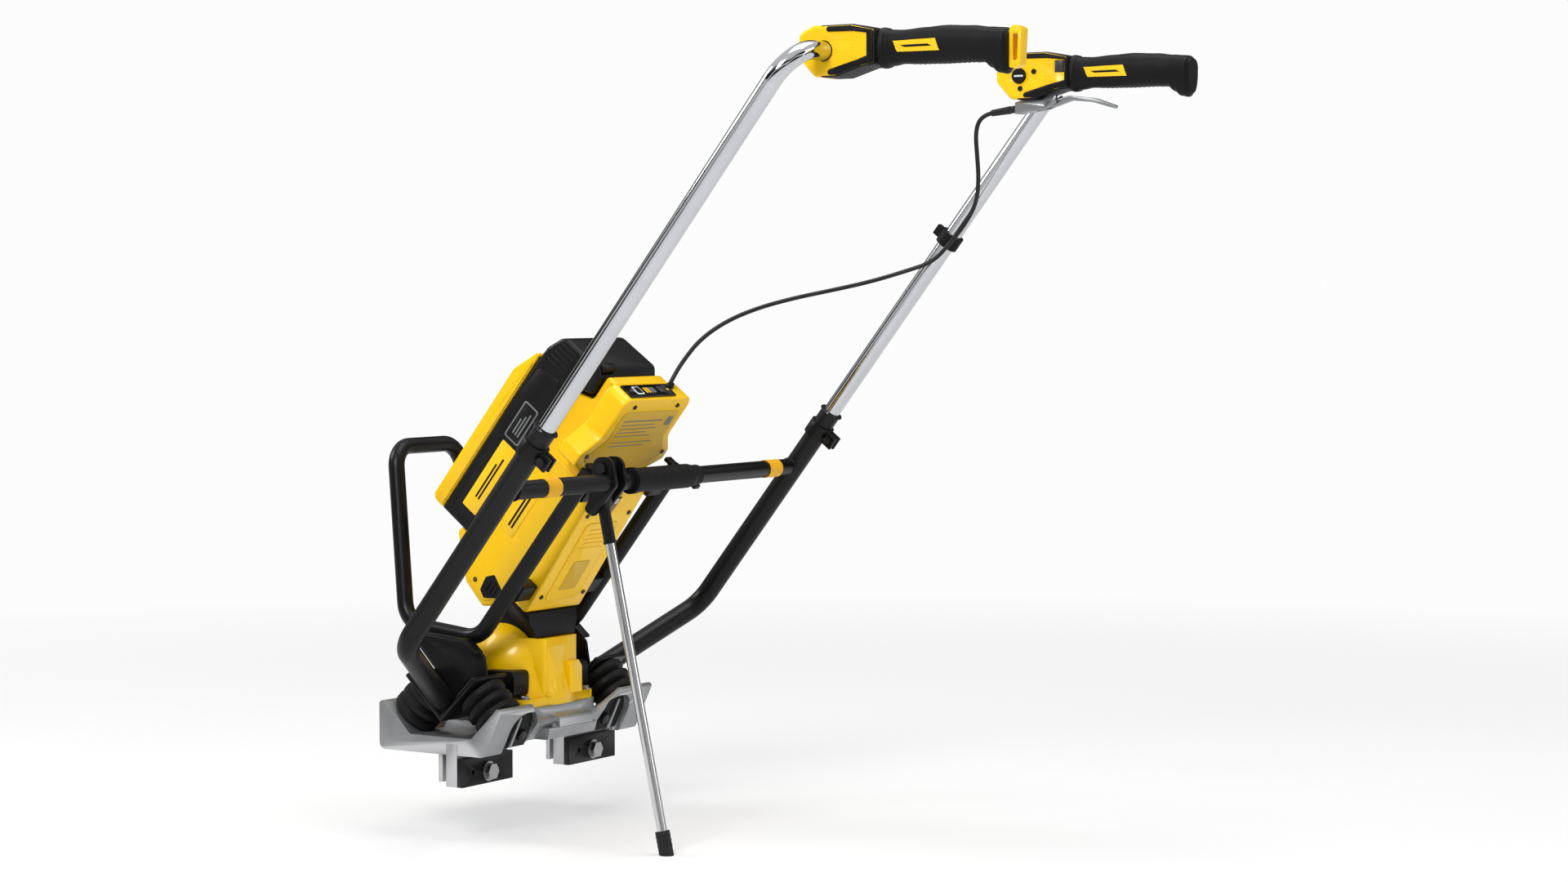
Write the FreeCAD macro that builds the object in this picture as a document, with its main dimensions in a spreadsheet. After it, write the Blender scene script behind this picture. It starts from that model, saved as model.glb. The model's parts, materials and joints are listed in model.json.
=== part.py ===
"""Battery power screed: a parametric assembly, one document object per physical piece.

Frame: +X is the operator's right, +Y is forwards, away from the operator, +Z is up.  The origin
is on the ground below the middle of the machine.  The stand's foot rests at Z = 0, which is also
the level of a fitted blade's lower edge.
"""
import FreeCAD, Part
import math
import os
from FreeCAD import Placement, Rotation, Vector

DIMENSIONS = {
    # main frame
    "tube_spacing": 650, "lean_angle": 38.16, "crossbar_height": 455, "origin_shift": 124.6,
    "frame_tube_diameter": 27.5, "handle_tube_diameter": 22.2, "tube_bore_diameter": 22.36,
    "crossbar_diameter": 22.2, "mouth_reach": 94, "bend_reach": 244.4, "frame_bend_radius": 45,
    "loop_tube_diameter": 21, "loop_bend_radius": 38, "inner_tube_spacing": 198,
    "carry_sleeve_diameter": 30.8, "carry_sleeve_length": 150,
    # handles
    "handle_corner_reach": 640, "handle_insertion": 150, "grip_spacing": 476,
    "handle_bend_radius": 45, "grip_length": 160,
    # base and isolators
    "base_width": 335, "base_depth": 194, "base_middle": 220.5, "base_bottom": 109,
    "trough_floor": 131, "trough_rim": 171, "rim_width": 9, "end_width": 70,
    "deck_half_width": 68, "deck_underside": 118, "deck_top": 147,
    "isolator_diameter": 63, "isolator_length": 47, "isolator_offset": 131,
    # blade clamps
    "clamp_length": 105.7, "clamp_height": 35.8, "clamp_centre": 115, "clamp_bottom": 68.7,
    "clamp_face": 193.5, "clamp_plate_thickness": 8, "clamp_bolt_diameter": 12,
    # exciter
    "exciter_radius": 66, "exciter_centre_height": 207, "exciter_foot": 160,
    "exciter_wall": 6, "column_top": 246,
    # power head, measured along and square to the frame tubes
    "head_half_width": 58, "cover_bottom": -242, "motor_axis_lift": 58, "stator_radius": 26,
    "rotor_radius": 13, "shaft_radius": 5, "panel_lift": 60, "panel_top": 80,
    # battery
    "battery_width": 130,
    # kickstand
    "stand_offset": -108, "stand_pivot_height": 472.6, "stand_rod_diameter": 12.7,
    "stand_pivot_diameter": 8,
    # throttle
    "cable_diameter": 5.5, "lever_pin_diameter": 5,
}

doc = FreeCAD.newDocument("power_screed")
sheet = doc.addObject("Spreadsheet::Sheet", "Dimensions")
sheet.Label = "driving dimensions"
for row, (alias, number) in enumerate(DIMENSIONS.items(), start=1):
    sheet.set("A%d" % row, alias)
    sheet.set("B%d" % row, str(number))
    sheet.setAlias("B%d" % row, alias)
doc.recompute()

parts = {}


def dim(alias):
    """A driving dimension, read back from the spreadsheet."""
    return float(sheet.get(alias))


LEAN = math.radians(dim("lean_angle"))
HALF = dim("tube_spacing") / 2
JUNCTION_Z = dim("crossbar_height")
UP_TUBE = Vector(0, -math.sin(LEAN), math.cos(LEAN))
OFF_TUBE = Vector(0, math.cos(LEAN), math.sin(LEAN))
SIDE = Vector(1, 0, 0)
SIDES = (("left", -1), ("right", 1))


def on_head(x, along, lift):
    """A point given across, along and square to the frame tubes, from the crossbar's middle."""
    return Vector(x, 0, JUNCTION_Z) + UP_TUBE * along + OFF_TUBE * lift


def frame_at(origin, x_axis, y_axis):
    """Placement whose local X and Y run along the two given directions."""
    z_axis = x_axis.cross(y_axis)
    return Placement(origin, Rotation(x_axis, y_axis, z_axis, "ZXY"))


def side_frame(x):
    """Outlines drawn as (forwards, up), raised towards +X from x."""
    return frame_at(Vector(x, 0, 0), Vector(0, 1, 0), Vector(0, 0, 1))


def head_side_frame(x):
    """Outlines drawn as (lift, along) on the power head, raised towards +X from x."""
    return frame_at(Vector(x, 0, JUNCTION_Z), OFF_TUBE, UP_TUBE)


def corner_cut(point, before, after, radius):
    """Where a corner's arc of the given radius starts, is deepest and ends."""
    to_before = (before - point).normalize()
    to_after = (after - point).normalize()
    half_angle = to_before.getAngle(to_after) / 2
    reach = radius / math.tan(half_angle)
    middle = (to_before + to_after).normalize()
    depth = radius / math.sin(half_angle) - radius
    return point + to_before * reach, point + middle * depth, point + to_after * reach


def rounded_edges(points, radii, closed=True):
    """Lines and tangent arcs through the points, each corner rounded by its own radius."""
    points = [Vector(*p) for p in points]
    count = len(points)
    if not isinstance(radii, (list, tuple)):
        radii = [radii] * count
    stations = []
    for i, point in enumerate(points):
        at_end = not closed and i in (0, count - 1)
        if at_end or radii[i] == 0:
            stations.append((point, None, point))
        else:
            stations.append(corner_cut(point, points[i - 1], points[(i + 1) % count], radii[i]))
    edges = []
    for i, (start, middle, end) in enumerate(stations):
        if middle is not None:
            edges.append(Part.Arc(start, middle, end))
        if i < count - 1 or closed:
            following = stations[(i + 1) % count][0]
            if end.distanceToPoint(following) > 1e-4:
                edges.append(Part.LineSegment(end, following))
    return edges


def keep(label, obj):
    """Register a document object as one physical piece of the machine."""
    obj.Label = label
    parts[label] = obj
    return obj


def new_sketch(body, name, plane, edges):
    sketch = body.newObject("Sketcher::SketchObject", name)
    planes = {f.Role: f for f in body.Origin.OriginFeatures}
    sketch.AttachmentSupport = [(planes[plane], "")]
    sketch.MapMode = "FlatFace"
    for edge in edges:
        sketch.addGeometry(edge, False)
    return sketch


def padded_body(name, outline, radii, length, place):
    """PartDesign body: one outline padded by a length, which is an expression."""
    body = doc.addObject("PartDesign::Body", name)
    sketch = new_sketch(body, name + "_outline", "XY_Plane", rounded_edges(outline, radii))
    pad = body.newObject("PartDesign::Pad", name + "_pad")
    pad.Profile = sketch
    pad.setExpression("Length", length)
    body.Tip = pad
    body.Placement = place
    return body


def revolved_body(name, outline, radii, place):
    """PartDesign body: an outline of (radius, height) turned about the local Z axis."""
    points = [(r, z, 0) for r, z in outline]
    return turned_edges(name, rounded_edges(points, radii), place)


def turned_edges(name, edges, place):
    """PartDesign body: edges drawn as (radius, height) turned about the local Z axis."""
    body = doc.addObject("PartDesign::Body", name)
    sketch = new_sketch(body, name + "_outline", "XZ_Plane", edges)
    turn = body.newObject("PartDesign::Revolution", name + "_turn")
    turn.Profile = sketch
    turn.ReferenceAxis = (sketch, ["V_Axis"])
    turn.Angle = 360
    body.Tip = turn
    body.Placement = place
    return body


def round_off(body, radius, wanted):
    """PartDesign fillet on the body's edges that the function picks, in the body's own frame."""
    doc.recompute()
    base = body.Tip
    names = ["Edge%d" % (i + 1) for i, e in enumerate(base.Shape.Edges) if wanted(e)]
    fillet = body.newObject("PartDesign::Fillet", body.Name + "_round")
    fillet.Base = (base, names)
    fillet.Radius = radius
    body.Tip = fillet
    return body


def edge_on_level(level):
    """Picks edges that lie wholly at one local height."""
    def wanted(edge):
        box = edge.BoundBox
        return abs(box.ZMin - level) < 1e-3 and abs(box.ZMax - level) < 1e-3
    return wanted


def box(name, size, corner):
    obj = doc.addObject("Part::Box", name)
    for side, value in zip(("Length", "Width", "Height"), size):
        obj.setExpression(side, str(value))
    obj.Placement = Placement(Vector(*corner), Rotation())
    return obj


def rod(name, radius, height, start, direction):
    """Part cylinder from a point along a direction; radius and height are expressions."""
    obj = doc.addObject("Part::Cylinder", name)
    obj.setExpression("Radius", str(radius))
    obj.setExpression("Height", str(height))
    obj.Placement = Placement(start, Rotation(Vector(0, 0, 1), direction))
    return obj


def fused(name, pieces):
    obj = doc.addObject("Part::MultiFuse", name)
    obj.Shapes = pieces
    obj.Refine = True
    return obj


def cut(name, base, tool):
    obj = doc.addObject("Part::Cut", name)
    obj.Base = base
    obj.Tool = tool
    obj.Refine = True
    return obj


def group(name, pieces):
    """Separate solids of one kind that share a node."""
    obj = doc.addObject("Part::Compound", name)
    obj.Links = pieces
    return obj


def swept_tube(points, radii, diameter, bore=0):
    """Round tube along straight runs and tangent arcs; the path may leave one plane."""
    wire = Part.Wire([edge.toShape() for edge in rounded_edges(points, radii, closed=False)])
    start = wire.OrderedEdges[0].valueAt(wire.OrderedEdges[0].FirstParameter)
    heading = Vector(*points[1]) - Vector(*points[0])
    ring = Part.Wire([Part.Circle(start, heading, diameter / 2).toShape()])
    tube = wire.makePipeShell([ring], True, False)
    if bore:
        inner = Part.Wire([Part.Circle(start, heading, bore / 2).toShape()])
        tube = tube.cut(wire.makePipeShell([inner], True, False))
    return tube


def made_shape(name, shape):
    obj = doc.addObject("Part::Feature", name)
    obj.Shape = shape
    return obj


def hexagon_head(name, across_flats, height, start, direction):
    obj = doc.addObject("Part::Prism", name)
    obj.Polygon = 6
    obj.Circumradius = across_flats / math.sqrt(3)
    obj.Height = height
    obj.Placement = Placement(start, Rotation(Vector(0, 0, 1), direction))
    return obj


def bolt(name, diameter, across_flats, head, shank, start, direction):
    """Hexagon bolt: the head starts at the point and the shank runs on along the direction."""
    cap = hexagon_head(name + "_head", across_flats, head, start, direction)
    stem = rod(name + "_shank", diameter / 2, head + shank, start, direction)
    return fused(name, [cap, stem])


# ---------------------------------------------------------------- main frame

WEDGE_SEAT = Vector(163, 220.5, 177.7)


def frame_path(sign):
    """Mouth, bend and lower end of one side tube."""
    mouth = on_head(sign * HALF, dim("mouth_reach"), 0)
    bend = on_head(sign * HALF, -dim("bend_reach"), 0)
    end = Vector(sign * WEDGE_SEAT.x, WEDGE_SEAT.y, WEDGE_SEAT.z)
    return [mouth, bend, end]


def frame_tube(side, sign):
    """Side tube: bored from its mouth, so that the handle tube can slide in it."""
    outer = swept_tube(frame_path(sign), dim("frame_bend_radius"), dim("frame_tube_diameter"))
    bore_depth = dim("mouth_reach") + dim("bend_reach") - 40
    mouth = on_head(sign * HALF, dim("mouth_reach") + 1, 0)
    bore = Part.makeCylinder(dim("tube_bore_diameter") / 2, bore_depth, mouth, -UP_TUBE)
    keep(side + "_frame_tube", made_shape(side + "_frame_tube", outer.cut(bore)))


STAND_X = dim("stand_offset")
PIVOT = Vector(STAND_X, 4, dim("stand_pivot_height"))
CLEVIS_GAP = 16
CLEVIS_PLATE = 5


def crossbar():
    """Crossbar in two lengths, joined by the clevis that carries the kickstand."""
    inner = STAND_X - CLEVIS_GAP / 2
    outer = STAND_X + CLEVIS_GAP / 2
    tube_skin = HALF - dim("frame_tube_diameter") / 2 - 0.05
    radius = "Dimensions.crossbar_diameter / 2"
    middle = Vector(0, 0, JUNCTION_Z)
    left = rod("crossbar_left", radius, inner - CLEVIS_PLATE + tube_skin,
               middle - SIDE * tube_skin, SIDE)
    right = rod("crossbar_right", radius, tube_skin - outer - CLEVIS_PLATE,
                middle + SIDE * (outer + CLEVIS_PLATE), SIDE)
    outline = [(-17, 452, 0), (-10, 486.6, 0), (18, 486.6, 0), (21, 440, 0), (32, 420, 0),
               (18, 412, 0)]
    plates = []
    for name, x in (("inner", inner - CLEVIS_PLATE), ("outer", outer)):
        plate = padded_body("clevis_" + name, outline, [8, 13, 13, 10, 5, 5], str(CLEVIS_PLATE),
                            side_frame(x))
        plates.append(plate)
    web = box("clevis_web", (CLEVIS_GAP, 8, 30), (0, 0, 0))
    web.Placement = Placement(Vector(inner, 24, 416), Rotation(Vector(1, 0, 0), 12))
    body = fused("crossbar_body", [left, right, web] + plates)
    hole = rod("pivot_hole", "Dimensions.stand_pivot_diameter / 2 + 0.05",
               CLEVIS_GAP + 4 * CLEVIS_PLATE, PIVOT - SIDE * (CLEVIS_GAP + 2), SIDE)
    keep("crossbar", cut("crossbar", body, hole))


def carry_sleeve():
    """Stepped grip sleeve around the middle of the crossbar."""
    bore = dim("crossbar_diameter") / 2
    outer = dim("carry_sleeve_diameter") / 2
    length = dim("carry_sleeve_length")
    outline = [(bore, 0), (outer + 1.2, 0), (outer + 1.2, 9), (outer, 11), (outer, length - 22),
               (outer - 2, length - 12), (outer - 2, length), (bore, length)]
    place = Placement(Vector(-68, 0, JUNCTION_Z), Rotation(Vector(0, 0, 1), SIDE))
    keep("carry_sleeve", revolved_body("carry_sleeve", outline, 0, place))


def crossbar_bands():
    """Two thin coloured bands near the crossbar's ends."""
    radius = dim("crossbar_diameter") / 2 + 0.02
    bands = []
    for side, start, width in (("left", -253, 28), ("right", 248, 30)):
        bands.append(ring("band_" + side, radius, radius + 0.7, width,
                          Vector(start, 0, JUNCTION_Z), SIDE))
    keep("crossbar_bands", group("crossbar_bands", bands))


LOOP_X = dim("inner_tube_spacing") / 2
LOOP_TOP_X = 65


def loop_half():
    """One half of the lifting loop's centre line, from the crossbar to the top bar."""
    return [
        on_head(LOOP_X, -17, 38), on_head(LOOP_X, -292, 38), Vector(LOOP_X, 327, 262),
        Vector(LOOP_TOP_X, 371, 488),
    ]


def lifting_loop():
    """One bent tube: up both inner tubes, forwards, up in front of the battery and across."""
    half = loop_half()
    mirrored = [Vector(-p.x, p.y, p.z) for p in reversed(half)]
    bend = dim("loop_bend_radius")
    radii = [0, bend, bend, 32, 32, bend, bend, 0]
    shape = swept_tube(half + mirrored, radii, dim("loop_tube_diameter"))
    keep("lifting_loop", made_shape("lifting_loop", shape))


def loop_brackets():
    """Short straps that carry the loop's inner tubes under the crossbar."""
    straps = []
    for side, sign in SIDES:
        width = 12.3
        start = 82.5 if sign > 0 else -82.5 - width
        strap = padded_body("loop_strap_" + side,
                            [(-9, -16.9, 0), (50, -16.9, 0), (50, -11.15, 0), (-9, -11.15, 0)],
                            0, str(width), head_side_frame(start))
        straps.append(strap)
    keep("loop_straps", group("loop_straps", straps))


TROUGH_SEAT = dim("base_middle") - dim("base_depth") / 2 + 9 + dim("trough_rim")
WEDGE_APEX_Z = (TROUGH_SEAT + (dim("isolator_length") + 0.08) * math.sqrt(2)
                - dim("base_middle"))


def wedge_outline():
    """V bracket seen from the side: two plates at right angles that hold the isolators."""
    apex, reach, skin = (dim("base_middle"), WEDGE_APEX_Z), 78, 6
    run = reach * math.sqrt(0.5)
    rise = skin * math.sqrt(2)
    return [
        (apex[0], apex[1], 0), (apex[0] + run, apex[1] + run, 0),
        (apex[0] + run - skin * math.sqrt(0.5), apex[1] + run + skin * math.sqrt(0.5), 0),
        (apex[0], apex[1] + rise, 0),
        (apex[0] - run + skin * math.sqrt(0.5), apex[1] + run + skin * math.sqrt(0.5), 0),
        (apex[0] - run, apex[1] + run, 0),
    ]


def wedge_brackets():
    length = 68
    brackets = []
    for side, sign in SIDES:
        start = -dim("base_width") / 2 if sign < 0 else dim("base_width") / 2 - length
        brackets.append(padded_body("wedge_" + side, wedge_outline(), 0, str(length),
                                    side_frame(start)))
    keep("wedge_brackets", group("wedge_brackets", brackets))


def gussets():
    """Upright plates with a folded top edge that tie the lifting loop to the V brackets."""
    thickness = 4
    plates = []
    floor = WEDGE_APEX_Z + 8.6
    middle = dim("base_middle")
    outline = [(308, 257, 0), (214, 248, 0), (192, 228, 0), (186, floor + middle - 186, 0),
               (middle, floor, 0), (268, floor + 268 - middle, 0), (300, 240, 0)]
    fold = [(300, 258, 0), (214, 250, 0), (196, 234, 0), (198, 231, 0), (215, 246, 0),
            (300, 254, 0)]
    for side, sign in SIDES:
        inner = LOOP_X + dim("loop_tube_diameter") / 2 + 0.03
        start = inner if sign > 0 else -inner - thickness
        plate = padded_body("gusset_plate_" + side, outline, [6, 10, 8, 3, 2, 3, 8],
                            str(thickness), side_frame(start))
        fold_start = inner if sign > 0 else -inner - 16
        flange = padded_body("gusset_flange_" + side, fold, 0, "16", side_frame(fold_start))
        plates.append(fused("gusset_" + side, [plate, flange]))
    keep("gussets", group("gussets", plates))


def collars():
    """Clamp collars welded round the mouths of the side tubes, each with two ears."""
    bodies = []
    bolts = []
    length = 20
    for side, sign in SIDES:
        base = on_head(sign * HALF, dim("mouth_reach") - length, 0)
        place = frame_at(base, SIDE, -OFF_TUBE)
        wall = dim("frame_tube_diameter") / 2
        ring = revolved_body("collar_ring_" + side,
                             [(wall + 0.02, 0), (wall + 3.2, 0), (wall + 3.2, length),
                              (wall + 0.02, length)], 0, Placement(base, place.Rotation))
        ears = []
        for ear, gap in (("near", -6.5), ("far", 2.5)):
            start = place.multiply(Placement(Vector(gap, wall + 2, 1), Rotation()))
            ears.append(padded_body("collar_%s_%s" % (ear, side),
                                    [(0, 0, 0), (4, 0, 0), (4, 15, 0), (0, 15, 0)], 0,
                                    str(length - 2), start))
        bodies.append(fused("collar_" + side, [ring] + ears))
        centre = place.multVec(Vector(-12.5, wall + 9, length / 2))
        screw = bolt("collar_screw_" + side, 5.8, 10, 5.9, 19, centre, SIDE)
        nut = hexagon_head("collar_nut_" + side, 10, 5, centre + SIDE * 19.1, SIDE)
        bolts.append(fused("collar_bolt_" + side, [screw, nut]))
    holes = []
    for side, sign in SIDES:
        base = on_head(sign * HALF, dim("mouth_reach") - length, 0)
        place = frame_at(base, SIDE, -OFF_TUBE)
        centre = place.multVec(Vector(-8, dim("frame_tube_diameter") / 2 + 9, length / 2))
        holes.append(rod("collar_hole_" + side, 2.95, 16, centre, SIDE))
    keep("tube_collars", cut("tube_collars", group("collar_pair", bodies),
                             group("collar_holes", holes)))
    keep("collar_bolts", group("collar_bolts", bolts))


# ---------------------------------------------------------------- upper handles

GRIP_X = dim("grip_spacing") / 2
HUB_CENTRE = on_head(0, dim("handle_corner_reach"), 0)
GRIP_Z = HUB_CENTRE.z + 2


def handle_tube(side, sign):
    """Silver tube: straight out of the frame tube, then bent inwards into the grip's hub."""
    lower = on_head(sign * HALF, dim("mouth_reach") - dim("handle_insertion"), 0)
    corner = on_head(sign * HALF, dim("handle_corner_reach"), 0)
    inner = Vector(sign * (GRIP_X + 6), corner.y, corner.z)
    shape = swept_tube([lower, corner, inner], dim("handle_bend_radius"),
                       dim("handle_tube_diameter"), dim("handle_tube_diameter") - 3)
    keep(side + "_handle_tube", made_shape(side + "_handle_tube", shape))


def hub(side, sign):
    """Yellow hub on the end of the handle tube, with a socket for it and a nose for the grip."""
    y_front, y_back = HUB_CENTRE.y + 33, HUB_CENTRE.y - 66
    low, high = GRIP_Z - 31, GRIP_Z + 27
    outline = [
        (y_front, high - 8, 0), (y_front, low + 22, 0), (y_front - 20, low, 0),
        (y_front - 48, low, 0), (y_back + 18, low + 10, 0), (y_back, low + 12, 0),
        (y_back, high - 6, 0), (y_back + 30, high, 0), (y_front - 18, high, 0),
    ]
    width = 46
    body = padded_body(side + "_hub_block", outline, [8, 10, 14, 12, 6, 4, 4, 12, 12],
                       str(width), side_frame(sign * GRIP_X - width / 2))
    round_off(body, 5, edge_on_level(0))
    round_off(body, 5, edge_on_level(width))
    depth = 17.4
    mouth = Vector(sign * (GRIP_X + width / 2 + 1), HUB_CENTRE.y, HUB_CENTRE.z)
    socket = rod(side + "_hub_socket", "Dimensions.handle_tube_diameter / 2 + 0.02", depth + 1,
                 mouth, Vector(-sign, 0, 0))
    pierced = cut(side + "_hub_pierced", body, socket)
    if side == "left":
        keep("left_hub", pierced)
        return
    dial_well = rod("dial_well", 9.28, 6, Vector(GRIP_X - width / 2 - 1, *HUB_CENTRE[1:]), SIDE)
    button_well = box("button_well", (7, 12.6, 14.6),
                      (GRIP_X - width / 2 - 1, HUB_CENTRE.y - 62.3, GRIP_Z + 0.7))
    wells = fused("right_hub_wells", [dial_well, button_well])
    keep("right_hub", cut("right_hub", pierced, wells))


def grip_section(y, centre_z, width, height):
    """Upright elliptical section of a grip at one station."""
    edge = Part.Ellipse(Vector(0, 0, 0), max(width, height) / 2, min(width, height) / 2).toShape()
    turn = Rotation(Vector(0, 0, 1), Vector(1, 0, 0), Vector(0, 1, 0), "ZXY")
    edge.Placement = Placement(Vector(0, y, centre_z), turn)
    return Part.Wire([edge])


def grip(side, sign):
    """Soft overmould: waisted behind the hub, swelling in the palm, flared at its end."""
    start = HUB_CENTRE.y - 66.05
    length = dim("grip_length")
    stations = [(0, 0, 36, 43), (14, 0, 34, 42), (32, 1, 34, 38.5), (80, 1.5, 38, 42),
                (120, 0.5, 36, 39), (length - 22, -2, 35, 40)]
    sections = [grip_section(start - run, GRIP_Z + lift, width, height)
                for run, lift, width, height in stations]
    handle = Part.makeLoft(sections, True)
    flare = [grip_section(start - (length - 22), GRIP_Z - 6, 34.9, 48),
             grip_section(start - (length - 10), GRIP_Z - 8, 37, 54),
             grip_section(start - length, GRIP_Z - 7, 30, 46)]
    shape = handle.fuse(Part.makeLoft(flare, True)).removeSplitter()
    shape.translate(Vector(sign * GRIP_X, 0, 0))
    keep(side + "_grip", made_shape(side + "_grip", shape))


def grip_loop():
    """Open D-shaped ring at the end of the left grip."""
    back = HUB_CENTRE.y - 66.05 - dim("grip_length")
    outline = [(back - 0.1, GRIP_Z - 29, 0), (back - 0.1, GRIP_Z + 14, 0),
               (back - 6, GRIP_Z + 19, 0), (back - 15, GRIP_Z + 15, 0), (back - 13, GRIP_Z - 26, 0)]
    window = [(back - 4.5, GRIP_Z - 20, 0), (back - 4.5, GRIP_Z + 9, 0),
              (back - 11, GRIP_Z + 9, 0), (back - 9.5, GRIP_Z - 20, 0)]
    width = 16
    ring = padded_body("grip_loop_ring", outline, [3, 4, 4, 4, 4], str(width),
                       side_frame(-GRIP_X - width / 2))
    hole = padded_body("grip_loop_window", window, 1.5, str(width + 4),
                       side_frame(-GRIP_X - width / 2 - 2))
    keep("left_grip_loop", cut("left_grip_loop", ring, hole))


# ---------------------------------------------------------------- throttle

LEVER_PIVOT = Vector(GRIP_X, -426, 923.5)
BRACKET_WIDTH = 20
CABLE_ANCHOR = Vector(GRIP_X, -395, 920.5)
CABLE_EXIT = Vector(0, 1, -0.12).normalize()


def throttle():
    """Bracket under the right hub, its pinned lever, and the cable's adjuster."""
    outline = [(-383, 912, 0), (-383, 926, 0), (-392, 928.9, 0), (-432, 928.9, 0),
               (-440, 934, 0), (-440, 924, 0), (-424, 917, 0)]
    block = padded_body("bracket_block", outline, 0, str(BRACKET_WIDTH),
                        side_frame(GRIP_X - BRACKET_WIDTH / 2))
    slot = box("bracket_slot", (10, 42, 30), (GRIP_X - 5, -450, 910))
    pin_hole = rod("bracket_pin_hole", "Dimensions.lever_pin_diameter / 2 + 0.02",
                   BRACKET_WIDTH + 4, LEVER_PIVOT - SIDE * 12, SIDE)
    ferrule_hole = rod("bracket_cable_hole", 3.02, 14, CABLE_ANCHOR - CABLE_EXIT * 0.5,
                       CABLE_EXIT)
    tools = fused("bracket_tools", [slot, pin_hole, ferrule_hole])
    keep("throttle_bracket", cut("throttle_bracket", block, tools))
    keep("lever_pin", rod("lever_pin", "Dimensions.lever_pin_diameter / 2", BRACKET_WIDTH + 2,
                          LEVER_PIVOT - SIDE * (BRACKET_WIDTH / 2 + 1), SIDE))
    lever_outline = [(-416, 919.5, 0), (-416, 927.5, 0), (-438, 929, 0), (-456, 933, 0),
                     (-490, 929, 0), (-519, 919, 0), (-518, 915, 0), (-488, 924, 0),
                     (-458, 927, 0), (-436, 920, 0)]
    lever = padded_body("lever_blade", lever_outline, [3, 3, 12, 14, 60, 1.5, 1.5, 60, 14, 12],
                        "9", side_frame(GRIP_X - 4.5))
    bore = rod("lever_bore", "Dimensions.lever_pin_diameter / 2 + 0.05", 14,
               LEVER_PIVOT - SIDE * 7, SIDE)
    keep("throttle_lever", cut("throttle_lever", lever, bore))
    adjuster = revolved_body("cable_ferrule", [(0, 0), (3, 0), (3, 13), (4.6, 13), (4.6, 24),
                                               (5, 24), (4, 50), (0, 50)], 0,
                             Placement(CABLE_ANCHOR, Rotation(Vector(0, 0, 1), CABLE_EXIT)))
    keep("cable_ferrule", adjuster)


CABLE_ROUTE = [
    (238, -344.7, 914.46), (238.4, -330, 911.6), (243, -319, 893), (250, -318, 862),
    (262, -314, 832), (282, -300, 803), (304, -272, 777), (306, -247, 751),
    (300, -226, 728), (284, -193, 716), (258, -158, 703), (225, -120, 692),
    (190, -84, 682), (153, -50, 669), (118, -24, 652), (86, -5, 629), (62, 6, 601),
    (48, 12, 580), (46.3, 15.7, 570.8),
]


def tangent_radii(points):
    """The largest arc that fits each corner: 0.45 of its shorter run."""
    radii = [0]
    for before, here, after in zip(points, points[1:], points[2:]):
        turn = (here - before).getAngle(after - here)
        shorter = min((here - before).Length, (after - here).Length)
        radii.append(0.45 * shorter / math.tan(turn / 2))
    return radii + [0]


def throttle_cable():
    points = [Vector(*p) for p in CABLE_ROUTE]
    radii = tangent_radii(points)
    shape = swept_tube(points, radii, dim("cable_diameter"))
    keep("throttle_cable", made_shape("throttle_cable", shape))
    path = sum(edge.toShape().Length for edge in rounded_edges(points, radii, closed=False))
    expected = math.pi * dim("cable_diameter") ** 2 / 4 * path
    print("cable length %.0f mm, volume %.4f of section times length" % (path,
                                                                       shape.Volume / expected))
    print("cable radii", [round(r) for r in radii[1:-1]])


def cable_clip():
    """Clip round the right handle tube, with an eye that the cable passes through."""
    along = 385
    centre = on_head(HALF, along, 0)
    place = Placement(centre - UP_TUBE * 9, Rotation(Vector(0, 0, 1), UP_TUBE))
    wall = dim("handle_tube_diameter") / 2
    ring = revolved_body("clip_ring", [(wall + 0.02, 0), (wall + 4, 0), (wall + 4, 18),
                                       (wall + 0.02, 18)], 0, place)
    tail = box("clip_tail", (8, 12, 14), (0, 0, 0))
    tail.Placement = Placement(centre + OFF_TUBE * (wall + 1) - UP_TUBE * 7 - SIDE * 4,
                               Rotation(SIDE, OFF_TUBE, UP_TUBE, "ZXY"))
    keep("cable_clip", fused("cable_clip", [ring, tail]))


def controls():
    """Lock dial and push button on the inner face of the right hub."""
    face = GRIP_X - 23
    dial = revolved_body("dial_disc", [(0, 0), (9.2, 0), (9.2, 7), (0, 7)], 0,
                         Placement(Vector(face + 4.7, HUB_CENTRE.y, HUB_CENTRE.z),
                                   Rotation(Vector(0, 0, 1), Vector(-1, 0, 0))))
    slot = box("dial_slot", (3, 14, 2.6), (face - 3.5, HUB_CENTRE.y - 7, HUB_CENTRE.z - 1.3))
    keep("lock_dial", cut("lock_dial", dial, slot))
    keep("grip_button", box("grip_button", (7, 12, 14),
                            (face - 2, HUB_CENTRE.y - 62, GRIP_Z + 1)))


# ---------------------------------------------------------------- base and clamps

MIDDLE_Y = dim("base_middle")
BASE_HALF = dim("base_width") / 2
FLOOR_Z = dim("trough_floor")
BOLT_HEIGHT = 84
RIM_WIDTH = dim("rim_width")
DECK_HALF = dim("deck_half_width")
FRONT_Y = MIDDLE_Y + dim("base_depth") / 2
BACK_Y = MIDDLE_Y - dim("base_depth") / 2
REAR_LEAN = 29
ARCH_MIDDLE = 102
ARCH_HALF = 29
ARCH_DEPTH = 9


def base_end_outline():
    """End of the casting seen from the side: a trough between an upright and a leaning wall."""
    rim, bottom = dim("trough_rim"), dim("base_bottom")
    run = RIM_WIDTH + rim - FLOOR_Z
    return [
        (BACK_Y + REAR_LEAN, bottom, 0), (BACK_Y, rim, 0), (BACK_Y + RIM_WIDTH, rim, 0),
        (BACK_Y + run, FLOOR_Z, 0), (FRONT_Y - run, FLOOR_Z, 0), (FRONT_Y - RIM_WIDTH, rim, 0),
        (FRONT_Y, rim, 0), (FRONT_Y, bottom, 0),
    ]


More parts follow.
